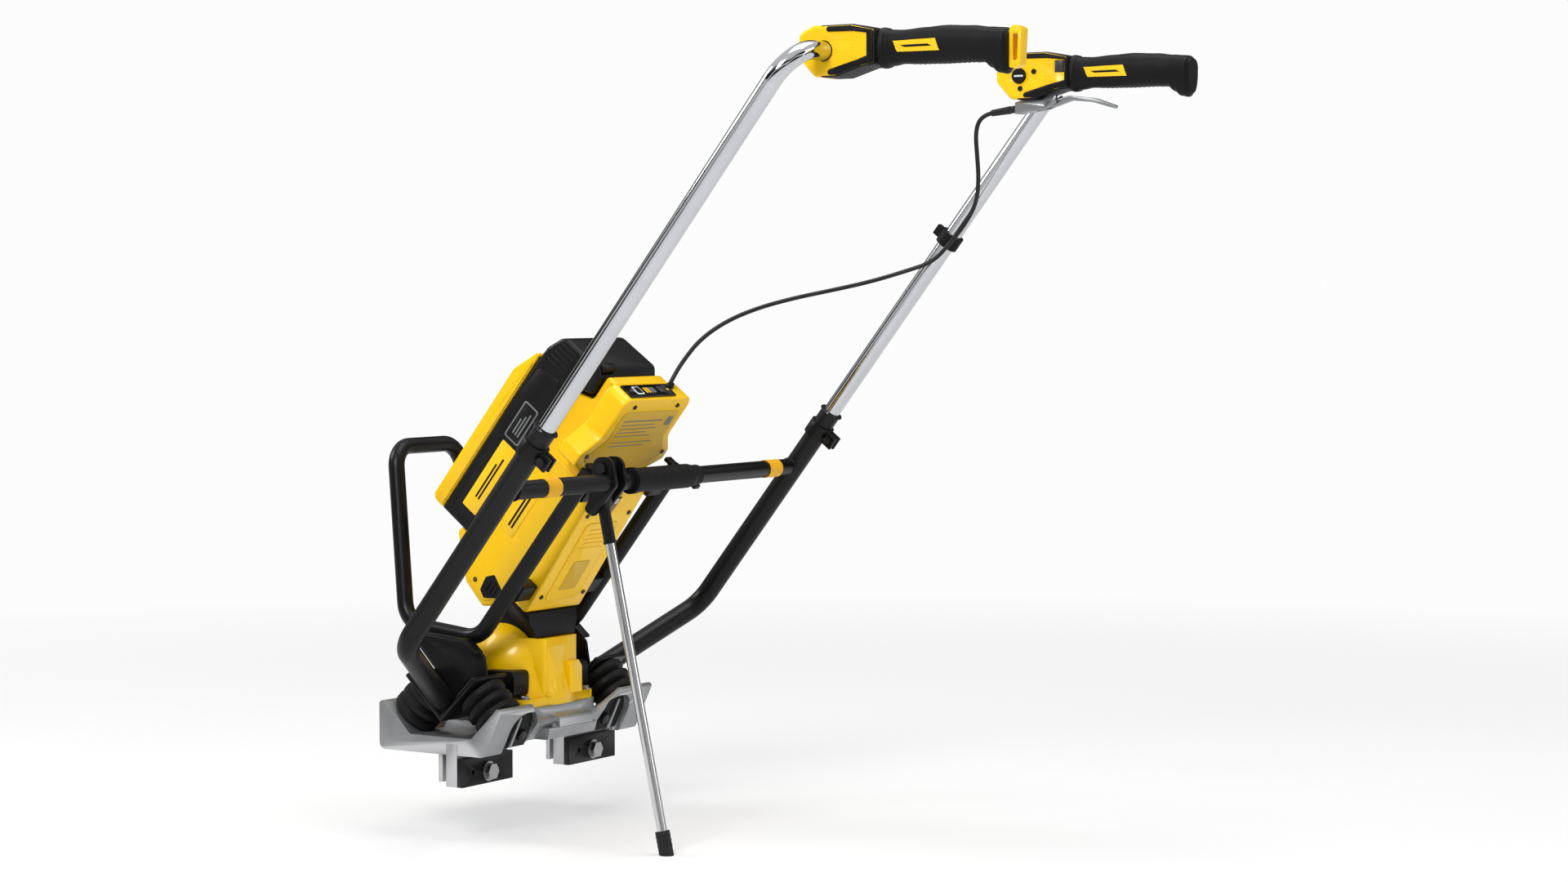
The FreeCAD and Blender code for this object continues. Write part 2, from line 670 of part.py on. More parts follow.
def base_deck_outline():
    """Middle of the casting seen from the side, with the same corners as the ends."""
    top, bottom = dim("deck_top"), dim("deck_underside")
    return [
        (BACK_Y + 36, bottom, 0), (BACK_Y + 13, top - 4, 0), (BACK_Y + 22, top + 1, 0),
        (BACK_Y + 38, top, 0), (FRONT_Y - 38, top, 0), (FRONT_Y - 22, top + 1, 0),
        (FRONT_Y - 12, top - 4, 0), (FRONT_Y - 16, bottom, 0),
    ]


END_RADII = [8, 4, 2, 5, 5, 2, 5, 9]
DECK_RADII = [8, 4, 3, 6, 6, 3, 4, 8]


def section_wire(outline, radii, x):
    """One cross-section of the casting as a wire at the given x."""
    edges = [edge.toShape() for edge in rounded_edges(outline, radii)]
    wire = Part.Wire(edges)
    wire.Placement = side_frame(x)
    return wire


def base_shoulder(side, sign):
    """The casting's flowing change from an end's trough down to the deck."""
    inner = BASE_HALF - dim("end_width")
    wires = [section_wire(base_end_outline(), END_RADII, sign * inner),
             section_wire(base_deck_outline(), DECK_RADII, sign * DECK_HALF)]
    return made_shape("base_shoulder_" + side, Part.makeLoft(wires, True, True))


def arch_tools(side, sign):
    """Arched pocket in the leaning rear wall, open below, with a deeper room under the floor."""
    foot = Vector(sign * ARCH_MIDDLE, BACK_Y + REAR_LEAN, dim("base_bottom"))
    rim = Vector(foot.x, BACK_Y, dim("trough_rim"))
    up_wall = (rim - foot).normalize()
    inward = up_wall.cross(SIDE)
    outline = [(-ARCH_HALF, -30, 0), (ARCH_HALF, -30, 0), (ARCH_HALF, 57, 0),
               (-ARCH_HALF, 57, 0)]
    pocket = padded_body("arch_pocket_" + side, outline, [0, 0, ARCH_HALF - 3, ARCH_HALF - 3],
                         str(ARCH_DEPTH + 25),
                         frame_at(foot + inward * ARCH_DEPTH, SIDE, up_wall))
    room = box("arch_room_" + side, (2 * ARCH_HALF - 6, 48, 26),
               (foot.x - ARCH_HALF + 3, foot.y - 14, dim("base_bottom") - 9))
    return [pocket, room]


def base_casting():
    """Aluminium base: two end troughs, a deck with the exciter's pad, and two blade jaws."""
    pieces = []
    tools = []
    jaw_height = "Dimensions.base_bottom + 14 - Dimensions.clamp_bottom"
    for side, sign in SIDES:
        start = -BASE_HALF if sign < 0 else BASE_HALF - dim("end_width")
        pieces.append(padded_body("base_end_" + side, base_end_outline(), END_RADII,
                                  "Dimensions.end_width", side_frame(start)))
        pieces.append(base_shoulder(side, sign))
        centre = sign * dim("clamp_centre")
        corner = centre - dim("clamp_length") / 2
        pieces.append(box("base_jaw_" + side, ("Dimensions.clamp_length", 17, jaw_height),
                          (corner, dim("clamp_face") + 0.5, dim("clamp_bottom"))))
        pieces.append(box("base_hook_" + side, ("Dimensions.clamp_length - 6", 6, 46),
                          (corner + 3, dim("clamp_face") + 25.5, dim("clamp_bottom") + 5)))
        tools += arch_tools(side, sign)
        tools.append(rod("jaw_hole_" + side, "Dimensions.clamp_bolt_diameter / 2 + 0.5", 60,
                         Vector(centre, dim("clamp_face") - 5, BOLT_HEIGHT), Vector(0, 1, 0)))
    pieces.append(padded_body("base_deck", base_deck_outline(), DECK_RADII,
                              "2 * Dimensions.deck_half_width", side_frame(-DECK_HALF)))
    pad = [(-81, -71, 0), (81, -71, 0), (81, 71, 0), (-81, 71, 0)]
    top = dim("exciter_foot")
    pieces.append(padded_body("base_pad", pad, 20, str(top - 140),
                              Placement(Vector(0, MIDDLE_Y, 140), Rotation())))
    block = [(BACK_Y + 6, 134, 0), (BACK_Y + 6, 147, 0), (BACK_Y + 40, 153, 0),
             (BACK_Y + 40, 134, 0)]
    pieces.append(padded_body("base_block", block, [2, 4, 2, 2], "72", side_frame(-36)))
    apron = [(BACK_Y + 14, 119, 0), (BACK_Y + 10, 134, 0), (BACK_Y + 46, 134, 0),
             (BACK_Y + 46, 119, 0)]
    pieces.append(padded_body("base_apron", apron, [3, 2, 0, 0], "104", side_frame(-52)))
    tools.append(rod("base_recess", 17.03, 20, Vector(0, MIDDLE_Y, top - 12), Vector(0, 0, 1)))
    keep("base_casting", cut("base_casting", fused("base_solid", pieces),
                             fused("base_holes", tools)))


def isolators():
    """Four ribbed rubber mounts between the trough walls and the V brackets, with studs."""
    rubbers = []
    length = dim("isolator_length")
    outer = dim("isolator_diameter") / 2
    ribs = 3
    pitch = length / ribs
    outline = [(0, 0)]
    for i in range(ribs):
        outline += [(outer - 5, i * pitch), (outer, i * pitch + pitch * 0.3),
                    (outer, i * pitch + pitch * 0.7)]
    outline += [(outer - 5, length), (0, length)]
    for side, sign in SIDES:
        for end, way in (("front", 1), ("rear", -1)):
            lean = Vector(0, -way * math.sqrt(0.5), math.sqrt(0.5))
            seat_y = (TROUGH_SEAT + 1) / 2
            seat = Vector(sign * dim("isolator_offset"), MIDDLE_Y + way * (MIDDLE_Y - seat_y),
                          TROUGH_SEAT - seat_y)
            start = seat + lean * 0.04
            rubbers.append(revolved_body("isolator_%s_%s" % (side, end), outline, 0,
                                         Placement(start, Rotation(Vector(0, 0, 1), lean))))
    keep("isolators", group("isolators", rubbers))


def clamps():
    """Black plate and bolt that squeeze the blade's rail against each jaw."""
    thick = dim("clamp_plate_thickness")
    for side, sign in SIDES:
        centre = sign * dim("clamp_centre")
        plate = box("plate_" + side,
                    ("Dimensions.clamp_length", "Dimensions.clamp_plate_thickness",
                     "Dimensions.clamp_height"),
                    (centre - dim("clamp_length") / 2, dim("clamp_face") - thick,
                     dim("clamp_bottom")))
        hole = rod("plate_hole_" + side, "Dimensions.clamp_bolt_diameter / 2 + 0.02",
                   3 * thick, Vector(centre, dim("clamp_face") - 2 * thick, BOLT_HEIGHT),
                   Vector(0, 1, 0))
        dimple = rod("plate_dimple_" + side, 3, 4,
                     Vector(centre - 30, dim("clamp_face") - thick - 1, 86), Vector(0, 1, 0))
        keep(side + "_clamp_plate", cut(side + "_clamp_plate", plate,
                                        fused("plate_tools_" + side, [hole, dimple])))
        head = 7.5
        start = Vector(centre, dim("clamp_face") - thick - 2.5 - head, BOLT_HEIGHT)
        screw = bolt("clamp_screw_" + side, dim("clamp_bolt_diameter"), 19, head, 54, start,
                     Vector(0, 1, 0))
        washer = rod("clamp_washer_" + side, 12.5, 2.5,
                     Vector(centre, dim("clamp_face") - thick - 2.52, BOLT_HEIGHT),
                     Vector(0, 1, 0))
        keep(side + "_clamp_bolt", fused(side + "_clamp_bolt", [screw, washer]))


def base_bumpers():
    pads = []
    for side, sign in SIDES:
        pads.append(rod("bumper_" + side, 8, 3.98,
                        Vector(sign * 130, MIDDLE_Y + 62, dim("base_bottom") - 4),
                        Vector(0, 0, 1)))
    keep("base_bumpers", group("base_bumpers", pads))


# ---------------------------------------------------------------- exciter

EXCITER_CENTRE_Z = dim("exciter_centre_height")
DRIVE_ALONG = (dim("motor_axis_lift") * OFF_TUBE.y - MIDDLE_Y) / math.sin(LEAN)
DRIVE_POINT = on_head(0, DRIVE_ALONG, dim("motor_axis_lift"))
BALL_RADIUS = 8


def exciter():
    """Domed exciter housing, hollow, on a flanged foot."""
    radius = dim("exciter_radius")
    wall = dim("exciter_wall")
    foot = dim("exciter_foot") + 0.02
    level = EXCITER_CENTRE_Z
    diagonal = math.sqrt(0.5)
    arc = Part.Arc(Vector(0, level + radius, 0),
                   Vector(radius * diagonal, level + radius * diagonal, 0),
                   Vector(radius, level, 0))
    inner = radius - wall
    inner_arc = Part.Arc(Vector(inner, level, 0),
                         Vector(inner * diagonal, level + inner * diagonal, 0),
                         Vector(0, level + inner, 0))
    edges = [arc] + [Part.LineSegment(Vector(*a), Vector(*b)) for a, b in (
        ((radius, level, 0), (radius + 8, foot + 12, 0)),
        ((radius + 8, foot + 12, 0), (radius + 8, foot, 0)),
        ((radius + 8, foot, 0), (inner, foot, 0)),
        ((inner, foot, 0), (inner, level, 0)),
    )] + [inner_arc, Part.LineSegment(Vector(0, level + inner, 0), Vector(0, level + radius, 0))]
    body = turned_edges("exciter_dome", edges, Placement(Vector(0, MIDDLE_Y, 0), Rotation()))
    foot_outline = [(-78, -68, 0), (78, -68, 0), (78, 68, 0), (-78, 68, 0)]
    flange = padded_body("exciter_flange", foot_outline, 16, "11",
                         Placement(Vector(0, MIDDLE_Y, foot), Rotation()))
    column = padded_body("exciter_column", [(-36, -67, 0), (36, -67, 0), (48, -20, 0),
                                            (-48, -20, 0)], [5, 5, 2, 2],
                         "Dimensions.column_top - Dimensions.exciter_foot - 0.02",
                         Placement(Vector(0, MIDDLE_Y, foot), Rotation()))
    solid = fused("exciter_solid", [body, flange, column])
    chamber = rod("exciter_chamber", inner, level - foot + 1,
                  Vector(0, MIDDLE_Y, foot - 1), Vector(0, 0, 1))
    throat = rod("exciter_throat", 17, 50, DRIVE_POINT - UP_TUBE * 20, UP_TUBE)
    dome_room = doc.addObject("Part::Sphere", "exciter_dome_room")
    dome_room.setExpression("Radius", "Dimensions.exciter_radius - Dimensions.exciter_wall")
    dome_room.Placement = Placement(Vector(0, MIDDLE_Y, level), Rotation())
    keep("exciter_housing", cut("exciter_housing", solid,
                                fused("exciter_tools", [chamber, throat, dome_room])))


def vent_covers():
    """Louvred covers on the left and right of the exciter."""
    covers = []
    for side, sign in SIDES:
        start, width = 50, 32
        top = EXCITER_CENTRE_Z - 0.1
        outline = [(MIDDLE_Y - 52, 173, 0), (MIDDLE_Y - 2, 173, 0), (MIDDLE_Y - 2, top, 0),
                   (MIDDLE_Y - 52, top, 0)]
        x = start if sign > 0 else -start - width
        plate = padded_body("vent_plate_" + side, outline, 6, str(width), side_frame(x))
        louvres = []
        for i in range(4):
            slot_x = x + width - 4 if sign > 0 else x - 1
            louvres.append(box("vent_slot_%s_%d" % (side, i), (5, 3, 14),
                               (slot_x, MIDDLE_Y - 44 + i * 8, 177)))
        covers.append(cut("vent_" + side, plate, fused("vent_slots_" + side, louvres)))
    keepers = group("vent_pair", covers)
    clear = doc.addObject("Part::Cone", "vent_clearance")
    clear.setExpression("Radius1", "Dimensions.exciter_radius + 8.03")
    clear.setExpression("Radius2", "Dimensions.exciter_radius + 0.03")
    clear.Height = EXCITER_CENTRE_Z - dim("exciter_foot") - 12.02
    clear.Placement = Placement(Vector(0, MIDDLE_Y, dim("exciter_foot") + 12.02), Rotation())
    keep("vent_covers", cut("vent_covers", keepers, clear))


def exciter_train():
    """Upright eccentric shaft in two bearings, with its weight."""
    low = dim("exciter_foot") - 10
    neck = 5
    ball_z = DRIVE_POINT.z
    reach = math.sqrt(BALL_RADIUS ** 2 - neck ** 2)
    line = [(0, low), (8, low), (8, 236), (neck, 240), (neck, ball_z - reach)]
    edges = [Part.LineSegment(Vector(*a, 0), Vector(*b, 0)) for a, b in zip(line, line[1:])]
    edges.append(Part.Arc(Vector(neck, ball_z - reach, 0), Vector(BALL_RADIUS, ball_z, 0),
                          Vector(0, ball_z + BALL_RADIUS, 0)))
    edges.append(Part.LineSegment(Vector(0, ball_z + BALL_RADIUS, 0), Vector(0, low, 0)))
    keep("eccentric_shaft", turned_edges("eccentric_shaft", edges,
                                         Placement(Vector(0, MIDDLE_Y, 0), Rotation())))
    weight = padded_body("weight_sector",
                         [(-30, -4, 0), (30, -4, 0), (30, 30, 0), (-30, 30, 0)],
                         [0, 0, 22, 22], "26",
                         Placement(Vector(0, MIDDLE_Y, 186), Rotation()))
    hub_disc = rod("weight_hub", 14, 26, Vector(0, MIDDLE_Y, 186), Vector(0, 0, 1))
    bore = rod("weight_bore", 8.02, 40, Vector(0, MIDDLE_Y, 180), Vector(0, 0, 1))
    keep("eccentric_weight", cut("eccentric_weight", fused("weight_body", [weight, hub_disc]),
                                 bore))


def ring(name, inner, outer, height, start, direction):
    return revolved_body(name, [(inner, 0), (outer, 0), (outer, height), (inner, height)], 0,
                         Placement(start, Rotation(Vector(0, 0, 1), direction)))


def bearings():
    """Ball bearings of both shafts, each as one ring, and the plate that holds the upper one."""
    up = Vector(0, 0, 1)
    axis = dim("motor_axis_lift")
    shaft = dim("shaft_radius")
    rings = [
        ring("bearing_low", 8.05, 17, 10, Vector(0, MIDDLE_Y, 151), up),
        ring("bearing_high", 8.05, 56.3, 9, Vector(0, MIDDLE_Y, 218), up),
        ring("bearing_motor_top", shaft + 0.05, 26, 8, on_head(0, -69.5, axis), UP_TUBE),
        ring("bearing_motor_foot", shaft + 0.05, 26, 8, on_head(0, -180, axis), UP_TUBE),
    ]
    keep("shaft_bearings", group("shaft_bearings", rings))


# ---------------------------------------------------------------- power head

AXIS = dim("motor_axis_lift")
HEAD_HALF = dim("head_half_width")


def motor_housing():
    """Main yellow shell of the head: dock face in front, motor chamber behind, nose below."""
    outline = [
        (62, -44, 0), (93, -44, 0), (93, 78, 0), (111, 78, 0), (111, 40, 0), (138, 30, 0),
        (138, -217.3, 0), (168, -217.3, 0), (172, -228, 0), (122, -272, 0), (82, -280, 0),
        (62, -262, 0),
    ]
    radii = [0, 0, 3, 6, 6, 8, 4, 8, 8, 10, 6, 4]
    shell = padded_body("housing_shell", outline, radii, "2 * Dimensions.head_half_width",
                        head_side_frame(-HEAD_HALF))
    round_off(shell, 4, edge_on_level(0))
    round_off(shell, 4, edge_on_level(2 * HEAD_HALF))
    nose = rod("housing_nose", 20, 30, on_head(0, -252, 150), OFF_TUBE)
    motor_room = rod("housing_motor_room", "Dimensions.stator_radius + 0.05", 140,
                     on_head(0, -200, AXIS), UP_TUBE)
    drive_hole = rod("housing_drive_hole", 16, 120, on_head(0, -290, AXIS), UP_TUBE)
    board_room = box("housing_board_room", (90, 26, 120), (0, 0, 0))
    board_room.Placement = Placement(on_head(-45, -200, 100),
                                     Rotation(SIDE, OFF_TUBE, UP_TUBE, "ZXY"))
    solid = fused("housing_solid", [shell, nose])
    tools = fused("housing_tools", [motor_room, drive_hole, board_room])
    keep("motor_housing", cut("motor_housing", solid, tools))


COVER_TOP = -46
COVER_TOP_LIFT = 35
COVER_FOOT_LIFT = 22


def motor_cover():
    """Rear cover over the motor."""
    foot = dim("cover_bottom")
    outline = [(COVER_TOP_LIFT, COVER_TOP, 0), (61.9, COVER_TOP, 0), (61.9, foot, 0),
               (COVER_FOOT_LIFT, foot, 0)]
    body = padded_body("cover_shell", outline, [7, 0, 0, 7], "2 * Dimensions.head_half_width",
                       head_side_frame(-HEAD_HALF))
    round_off(body, 3, edge_on_level(0))
    round_off(body, 3, edge_on_level(2 * HEAD_HALF))
    room = rod("cover_motor_room", "Dimensions.stator_radius + 0.05", 140,
               on_head(0, -200, AXIS), UP_TUBE)
    hole = rod("cover_drive_hole", 16, 80, on_head(0, -250, AXIS), UP_TUBE)
    keep("motor_cover", cut("motor_cover", body, fused("cover_tools", [room, hole])))


def control_housing():
    """Control module above the crossbar: wider at its foot, its top set with the panel."""
    lift = dim("panel_lift")
    top = dim("panel_top")
    outline = [(-75, top, 0), (75, top, 0), (75, 18, 0), (99, -8, 0), (99, -24, 0),
               (62, -43.9, 0), (-62, -43.9, 0), (-99, -24, 0), (-99, -8, 0), (-75, 18, 0)]
    depth = 32.9
    place = Placement(on_head(0, 0, lift + depth),
                      Rotation(SIDE, UP_TUBE, SIDE.cross(UP_TUBE), "ZXY"))
    body = padded_body("control_shell", outline, [14, 14, 20, 12, 6, 8, 8, 6, 12, 20],
                       str(depth),
                       place)
    round_off(body, 3, edge_on_level(depth))
    keep("control_housing", body)


def control_panel():
    """Black keypad and display carrier on the control module's top, with its button."""
    start = on_head(-62, dim("panel_top") + 0.02, 64)
    plate = box("panel_plate", (100, 22, 2.5), (0, 0, 0))
    plate.Placement = Placement(start, Rotation(SIDE, OFF_TUBE, UP_TUBE, "ZXY"))
    well = box("panel_well", (11.4, 11.4, 6), (0, 0, 0))
    well.Placement = Placement(on_head(8.3, dim("panel_top") + 0.8, 69.3),
                               Rotation(SIDE, OFF_TUBE, UP_TUBE, "ZXY"))
    keep("control_panel", cut("control_panel", plate, well))
    key = box("power_button", (10.8, 10.8, 2.4), (0, 0, 0))
    key.Placement = Placement(on_head(8.6, dim("panel_top") + 1.8, 69.6),
                              Rotation(SIDE, OFF_TUBE, UP_TUBE, "ZXY"))
    keep("power_button", key)


def motor():
    stator = ring("motor_stator", 13.6, dim("stator_radius"), 100, on_head(0, -170, AXIS),
                  UP_TUBE)
    keep("motor_stator", stator)
    core = dim("rotor_radius")
    shaft = dim("shaft_radius")
    outline = [(0, -61), (shaft, -61), (shaft, -72), (core, -72), (core, -160), (shaft, -160),
               (shaft, -256), (0, -256)]
    place = Placement(on_head(0, 0, AXIS), Rotation(Vector(0, 0, 1), UP_TUBE))
    keep("motor_rotor", revolved_body("motor_rotor", outline, 0, place))
    rim = math.radians(75)
    cup = BALL_RADIUS + 0.05
    centre = DRIVE_ALONG
    rim_level = centre + cup * math.cos(rim)
    line = [(0, centre + cup), (0, -256.1), (shaft + 0.02, -256.1), (shaft + 0.02, -230),
            (12, -230), (12, -240), (9.5, -244), (12, -248), (12, rim_level),
            (cup * math.sin(rim), rim_level)]
    edges = [Part.LineSegment(Vector(*a, 0), Vector(*b, 0)) for a, b in zip(line, line[1:])]
    half = rim / 2
    edges.append(Part.Arc(Vector(cup * math.sin(rim), rim_level, 0),
                          Vector(cup * math.sin(half), centre + cup * math.cos(half), 0),
                          Vector(0, centre + cup, 0)))
    keep("drive_cup", turned_edges("drive_cup", edges, place))


def coupling_boot():
    """Rubber boot that closes the gap between the head and the exciter, narrower below."""
    outline = [(22, -242.2, 0), (61.8, -242.2, 0), (61.8, -262, 0), (80, -281, 0),
               (52, -306, 0), (-3, -264.5, 0)]
    width = 104
    side_view = padded_body("boot_side_view", outline, [3, 0, 0, 0, 4, 3], str(width),
                            head_side_frame(-width / 2))
    taper = [(-52, -242, 0), (52, -242, 0), (52, -250, 0), (35, -270, 0), (35, -310, 0),
             (-35, -310, 0), (-35, -270, 0), (-52, -250, 0)]
    back_view = padded_body("boot_back_view", taper, [0, 0, 6, 10, 0, 0, 10, 6], "110",
                            Placement(on_head(0, 0, 95),
                                      Rotation(SIDE, UP_TUBE, SIDE.cross(UP_TUBE), "ZXY")))
    body = doc.addObject("Part::MultiCommon", "boot_body")
    body.Shapes = [side_view, back_view]
    dome = doc.addObject("Part::Sphere", "boot_dome")
    dome.setExpression("Radius", "Dimensions.exciter_radius + 0.05")
    dome.Placement = Placement(Vector(0, MIDDLE_Y, EXCITER_CENTRE_Z), Rotation())
    room = rod("boot_room", 20, 90, on_head(0, -300, AXIS), UP_TUBE)
    foot = dim("exciter_foot")
    column = box("boot_column", (100, 60, "Dimensions.column_top - Dimensions.exciter_foot"),
                 (-50, MIDDLE_Y - 70, foot + 0.05))
    keep("coupling_boot", cut("coupling_boot", body, fused("boot_tools", [dome, room, column])))


def controller_board():
    board = box("board_sheet", (86, 3, 112), (0, 0, 0))
    board.Placement = Placement(on_head(-43, -196, 112),
                                Rotation(SIDE, OFF_TUBE, UP_TUBE, "ZXY"))
    posts = [rod("board_post_%d" % i, 3, 12.98, on_head(x, along, 113), OFF_TUBE)
             for i, (x, along) in enumerate(((-36, -190), (36, -190), (-36, -90), (36, -90)))]
    keep("controller_board", fused("controller_board", [board] + posts))


def head_mounts():
    """Lugs that hold the head on the loop's inner tubes."""
    lugs = []
    for side, sign in SIDES:
        for level, along in (("high", -60), ("low", -225)):
            inner = HEAD_HALF + 0.02
            length = LOOP_X - dim("loop_tube_diameter") / 2 - 0.05 - inner
            start = sign * inner if sign > 0 else sign * inner - length
            outline = [(29, along, 0), (47, along, 0), (47, along + 24, 0), (29, along + 24, 0)]
            lugs.append(padded_body("lug_%s_%s" % (side, level), outline, 3, str(length),
                                    head_side_frame(start)))
    keep("head_mounts", group("head_mounts", lugs))


def housing_screws():
    """Screws of the control module and the motor cover."""
    screws = []
    lift = dim("panel_lift")
    out = OFF_TUBE * -1
    for i, (x, along) in enumerate(((-48, 68), (48, 68), (-84, -10), (84, -10))):
        screws.append(rod("panel_screw_%d" % i, 3, 1.6, on_head(x, along, lift - 0.02), out))
    slope = (COVER_TOP_LIFT - COVER_FOOT_LIFT) / (COVER_TOP - dim("cover_bottom"))
    outward = (UP_TUBE * slope - OFF_TUBE).normalize()
    for i, (x, along) in enumerate(((-46, -87), (46, -87), (-46, -215), (46, -215))):
        face = COVER_FOOT_LIFT + (along - dim("cover_bottom")) * slope
        start = on_head(x, along, face) + outward * 0.02
        screws.append(rod("cover_screw_%d" % i, 3, 1.6, start, outward))
    keep("housing_screws", group("housing_screws", screws))


# ---------------------------------------------------------------- battery

BATTERY_HALF = dim("battery_width") / 2


def battery():
    """Battery pack: black case with a carrying handle, yellow front shell, cells inside."""
    outline = [
        (138.2, -206, 0), (148, -217, 0), (206, -217, 0), (206, -12, 0), (203, 50, 0),
        (190, 78, 0), (124, 80, 0), (113, 66, 0), (113, 46, 0), (138.2, 36, 0),
    ]
    radii = [3, 8, 0, 10, 14, 16, 10, 6, 4, 4]
    case = padded_body("battery_shell", outline, radii, "Dimensions.battery_width",
                       head_side_frame(-BATTERY_HALF))
    round_off(case, 6, edge_on_level(0))
    round_off(case, 6, edge_on_level(2 * BATTERY_HALF))
    opening = box("battery_opening", (78, 110, 20), (0, 0, 0))
    opening.Placement = Placement(on_head(-39, 42, 105),
                                  Rotation(SIDE, OFF_TUBE, UP_TUBE, "ZXY"))
    room = box("battery_room", (112, 50, 205), (0, 0, 0))
    room.Placement = Placement(on_head(-56, -190, 147),
                               Rotation(SIDE, OFF_TUBE, UP_TUBE, "ZXY"))
    latch_well = box("battery_latch_well", (26.4, 14, 10), (0, 0, 0))
    latch_well.Placement = Placement(on_head(-58.2, 73, 117.8),
                                     Rotation(SIDE, OFF_TUBE, UP_TUBE, "ZXY"))
    keep("battery_case", cut("battery_case", case,
                             fused("battery_tools", [opening, room, latch_well])))
    front = [(206.1, -217, 0), (228, -217, 0), (228, -4, 0), (212, 34, 0), (206.1, 34, 0)]
    trim = padded_body("battery_trim", front, [0, 10, 14, 0, 0], "Dimensions.battery_width - 4",
                       head_side_frame(2 - BATTERY_HALF))
    for level in (0, dim("battery_width") - 4):
        on_level = edge_on_level(level)
        round_off(trim, 3, lambda edge: on_level(edge) and edge.BoundBox.XMax > 207)
    keep("battery_trim", trim)
    cells = []
    for row in range(5):
        for column in range(2):
            start = on_head(-50, -176 + row * 44, 160 + column * 23)
            cells.append(rod("cell_%d_%d" % (row, column), 10.5, 100, start, SIDE))
    keep("battery_cells", group("battery_cells", cells))
    latch = box("battery_latch", (26, 10, 9), (0, 0, 0))
    latch.Placement = Placement(on_head(-58, 75, 119),
                                Rotation(SIDE, OFF_TUBE, UP_TUBE, "ZXY"))
    keep("battery_latch", latch)


# ---------------------------------------------------------------- kickstand

ROD_LEAN = math.radians(12.3)
ROD_AXIS = Vector(0, math.sin(ROD_LEAN), math.cos(ROD_LEAN))
FOOT_Y = -81.4


def kickstand():
    """Arm that swings in the crossbar's clevis, with a thin rod and a rubber foot."""
    thickness = CLEVIS_GAP - 0.8
    def along_rod(distance):
        return Vector(STAND_X, FOOT_Y, 0) + ROD_AXIS * distance
    socket_top = along_rod(440)
    outline = [(PIVOT.y - 11, PIVOT.z + 11, 0), (PIVOT.y + 11, PIVOT.z + 11, 0),
               (PIVOT.y + 11, PIVOT.z - 18, 0), (socket_top.y + 7.4, socket_top.z - 6, 0),
               (socket_top.y - 8, socket_top.z - 6, 0), (PIVOT.y - 8, PIVOT.z - 16, 0)]
    arm = padded_body("stand_blade", outline, [10, 10, 8, 0, 0, 8], str(thickness),
                      side_frame(STAND_X - thickness / 2))
    socket = rod("stand_socket", 7.5, 52, along_rod(388), ROD_AXIS)
    solid = fused("stand_solid", [arm, socket])
    rod_hole = rod("stand_rod_hole", "Dimensions.stand_rod_diameter / 2 + 0.02", 42,
                   along_rod(380), ROD_AXIS)
    pivot_hole = rod("stand_pivot_hole", "Dimensions.stand_pivot_diameter / 2 + 0.05", 30,
                     PIVOT - SIDE * 15, SIDE)
    keep("stand_arm", cut("stand_arm", solid, fused("stand_tools", [rod_hole, pivot_hole])))
    keep("stand_rod", rod("stand_rod", "Dimensions.stand_rod_diameter / 2", 410, along_rod(12),
                          ROD_AXIS))
    cup = rod("foot_cup", 9, 34, along_rod(-4), ROD_AXIS)
    bore = rod("foot_bore", "Dimensions.stand_rod_diameter / 2 + 0.02", 40, along_rod(12),
               ROD_AXIS)
    under = box("foot_ground", (60, 60, 20), (STAND_X - 30, FOOT_Y - 30, -20))
    keep("stand_foot", cut("stand_foot", cup, fused("foot_tools", [bore, under])))
    pin = bolt("stand_pivot_bolt", dim("stand_pivot_diameter"), 13, 5,
               CLEVIS_GAP + 2 * CLEVIS_PLATE + 6, PIVOT - SIDE * (CLEVIS_GAP / 2 + 10.02), SIDE)
    keep("stand_pivot_bolt", pin)


# ---------------------------------------------------------------- assembly and export

for side, sign in SIDES:
    frame_tube(side, sign)
    handle_tube(side, sign)
    hub(side, sign)
    grip(side, sign)
crossbar()
carry_sleeve()
crossbar_bands()
lifting_loop()
loop_brackets()
wedge_brackets()
gussets()
collars()
grip_loop()
throttle()
throttle_cable()
cable_clip()
controls()
base_casting()
isolators()
clamps()
base_bumpers()
exciter()
vent_covers()
exciter_train()
bearings()
motor_housing()
motor_cover()
control_housing()
control_panel()
motor()
coupling_boot()
controller_board()
head_mounts()
housing_screws()
battery()
kickstand()
doc.recompute()
shift = Placement(Vector(0, dim("origin_shift"), 0), Rotation())
for obj in parts.values():
    obj.Placement = shift.multiply(obj.Placement)
doc.recompute()

for obj in doc.Objects:
    if "Invalid" in obj.State or "Error" in obj.State:
        raise RuntimeError("%s failed: %s" % (obj.Name, obj.State))

os.makedirs("parts", exist_ok=True)
whole = FreeCAD.BoundBox()
for label, obj in parts.items():
    if obj.Shape.isNull() or not obj.Shape.isValid():
        raise RuntimeError(label + " has no valid shape")
    whole.add(obj.Shape.BoundBox)
    obj.Shape.exportStep("parts/%s.step" % label)
print("%d pieces" % len(parts))
print("box", [round(v, 1) for v in (whole.XMin, whole.XMax, whole.YMin, whole.YMax,
                                    whole.ZMin, whole.ZMax)])
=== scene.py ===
"""Power screed: the finished looks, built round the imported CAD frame.

Lengths are in metres, in the frame's own axes: +X operator's right, +Y forwards, +Z up.
"""
import json
import math
import bmesh
import bpy
from mathutils import Matrix, Vector


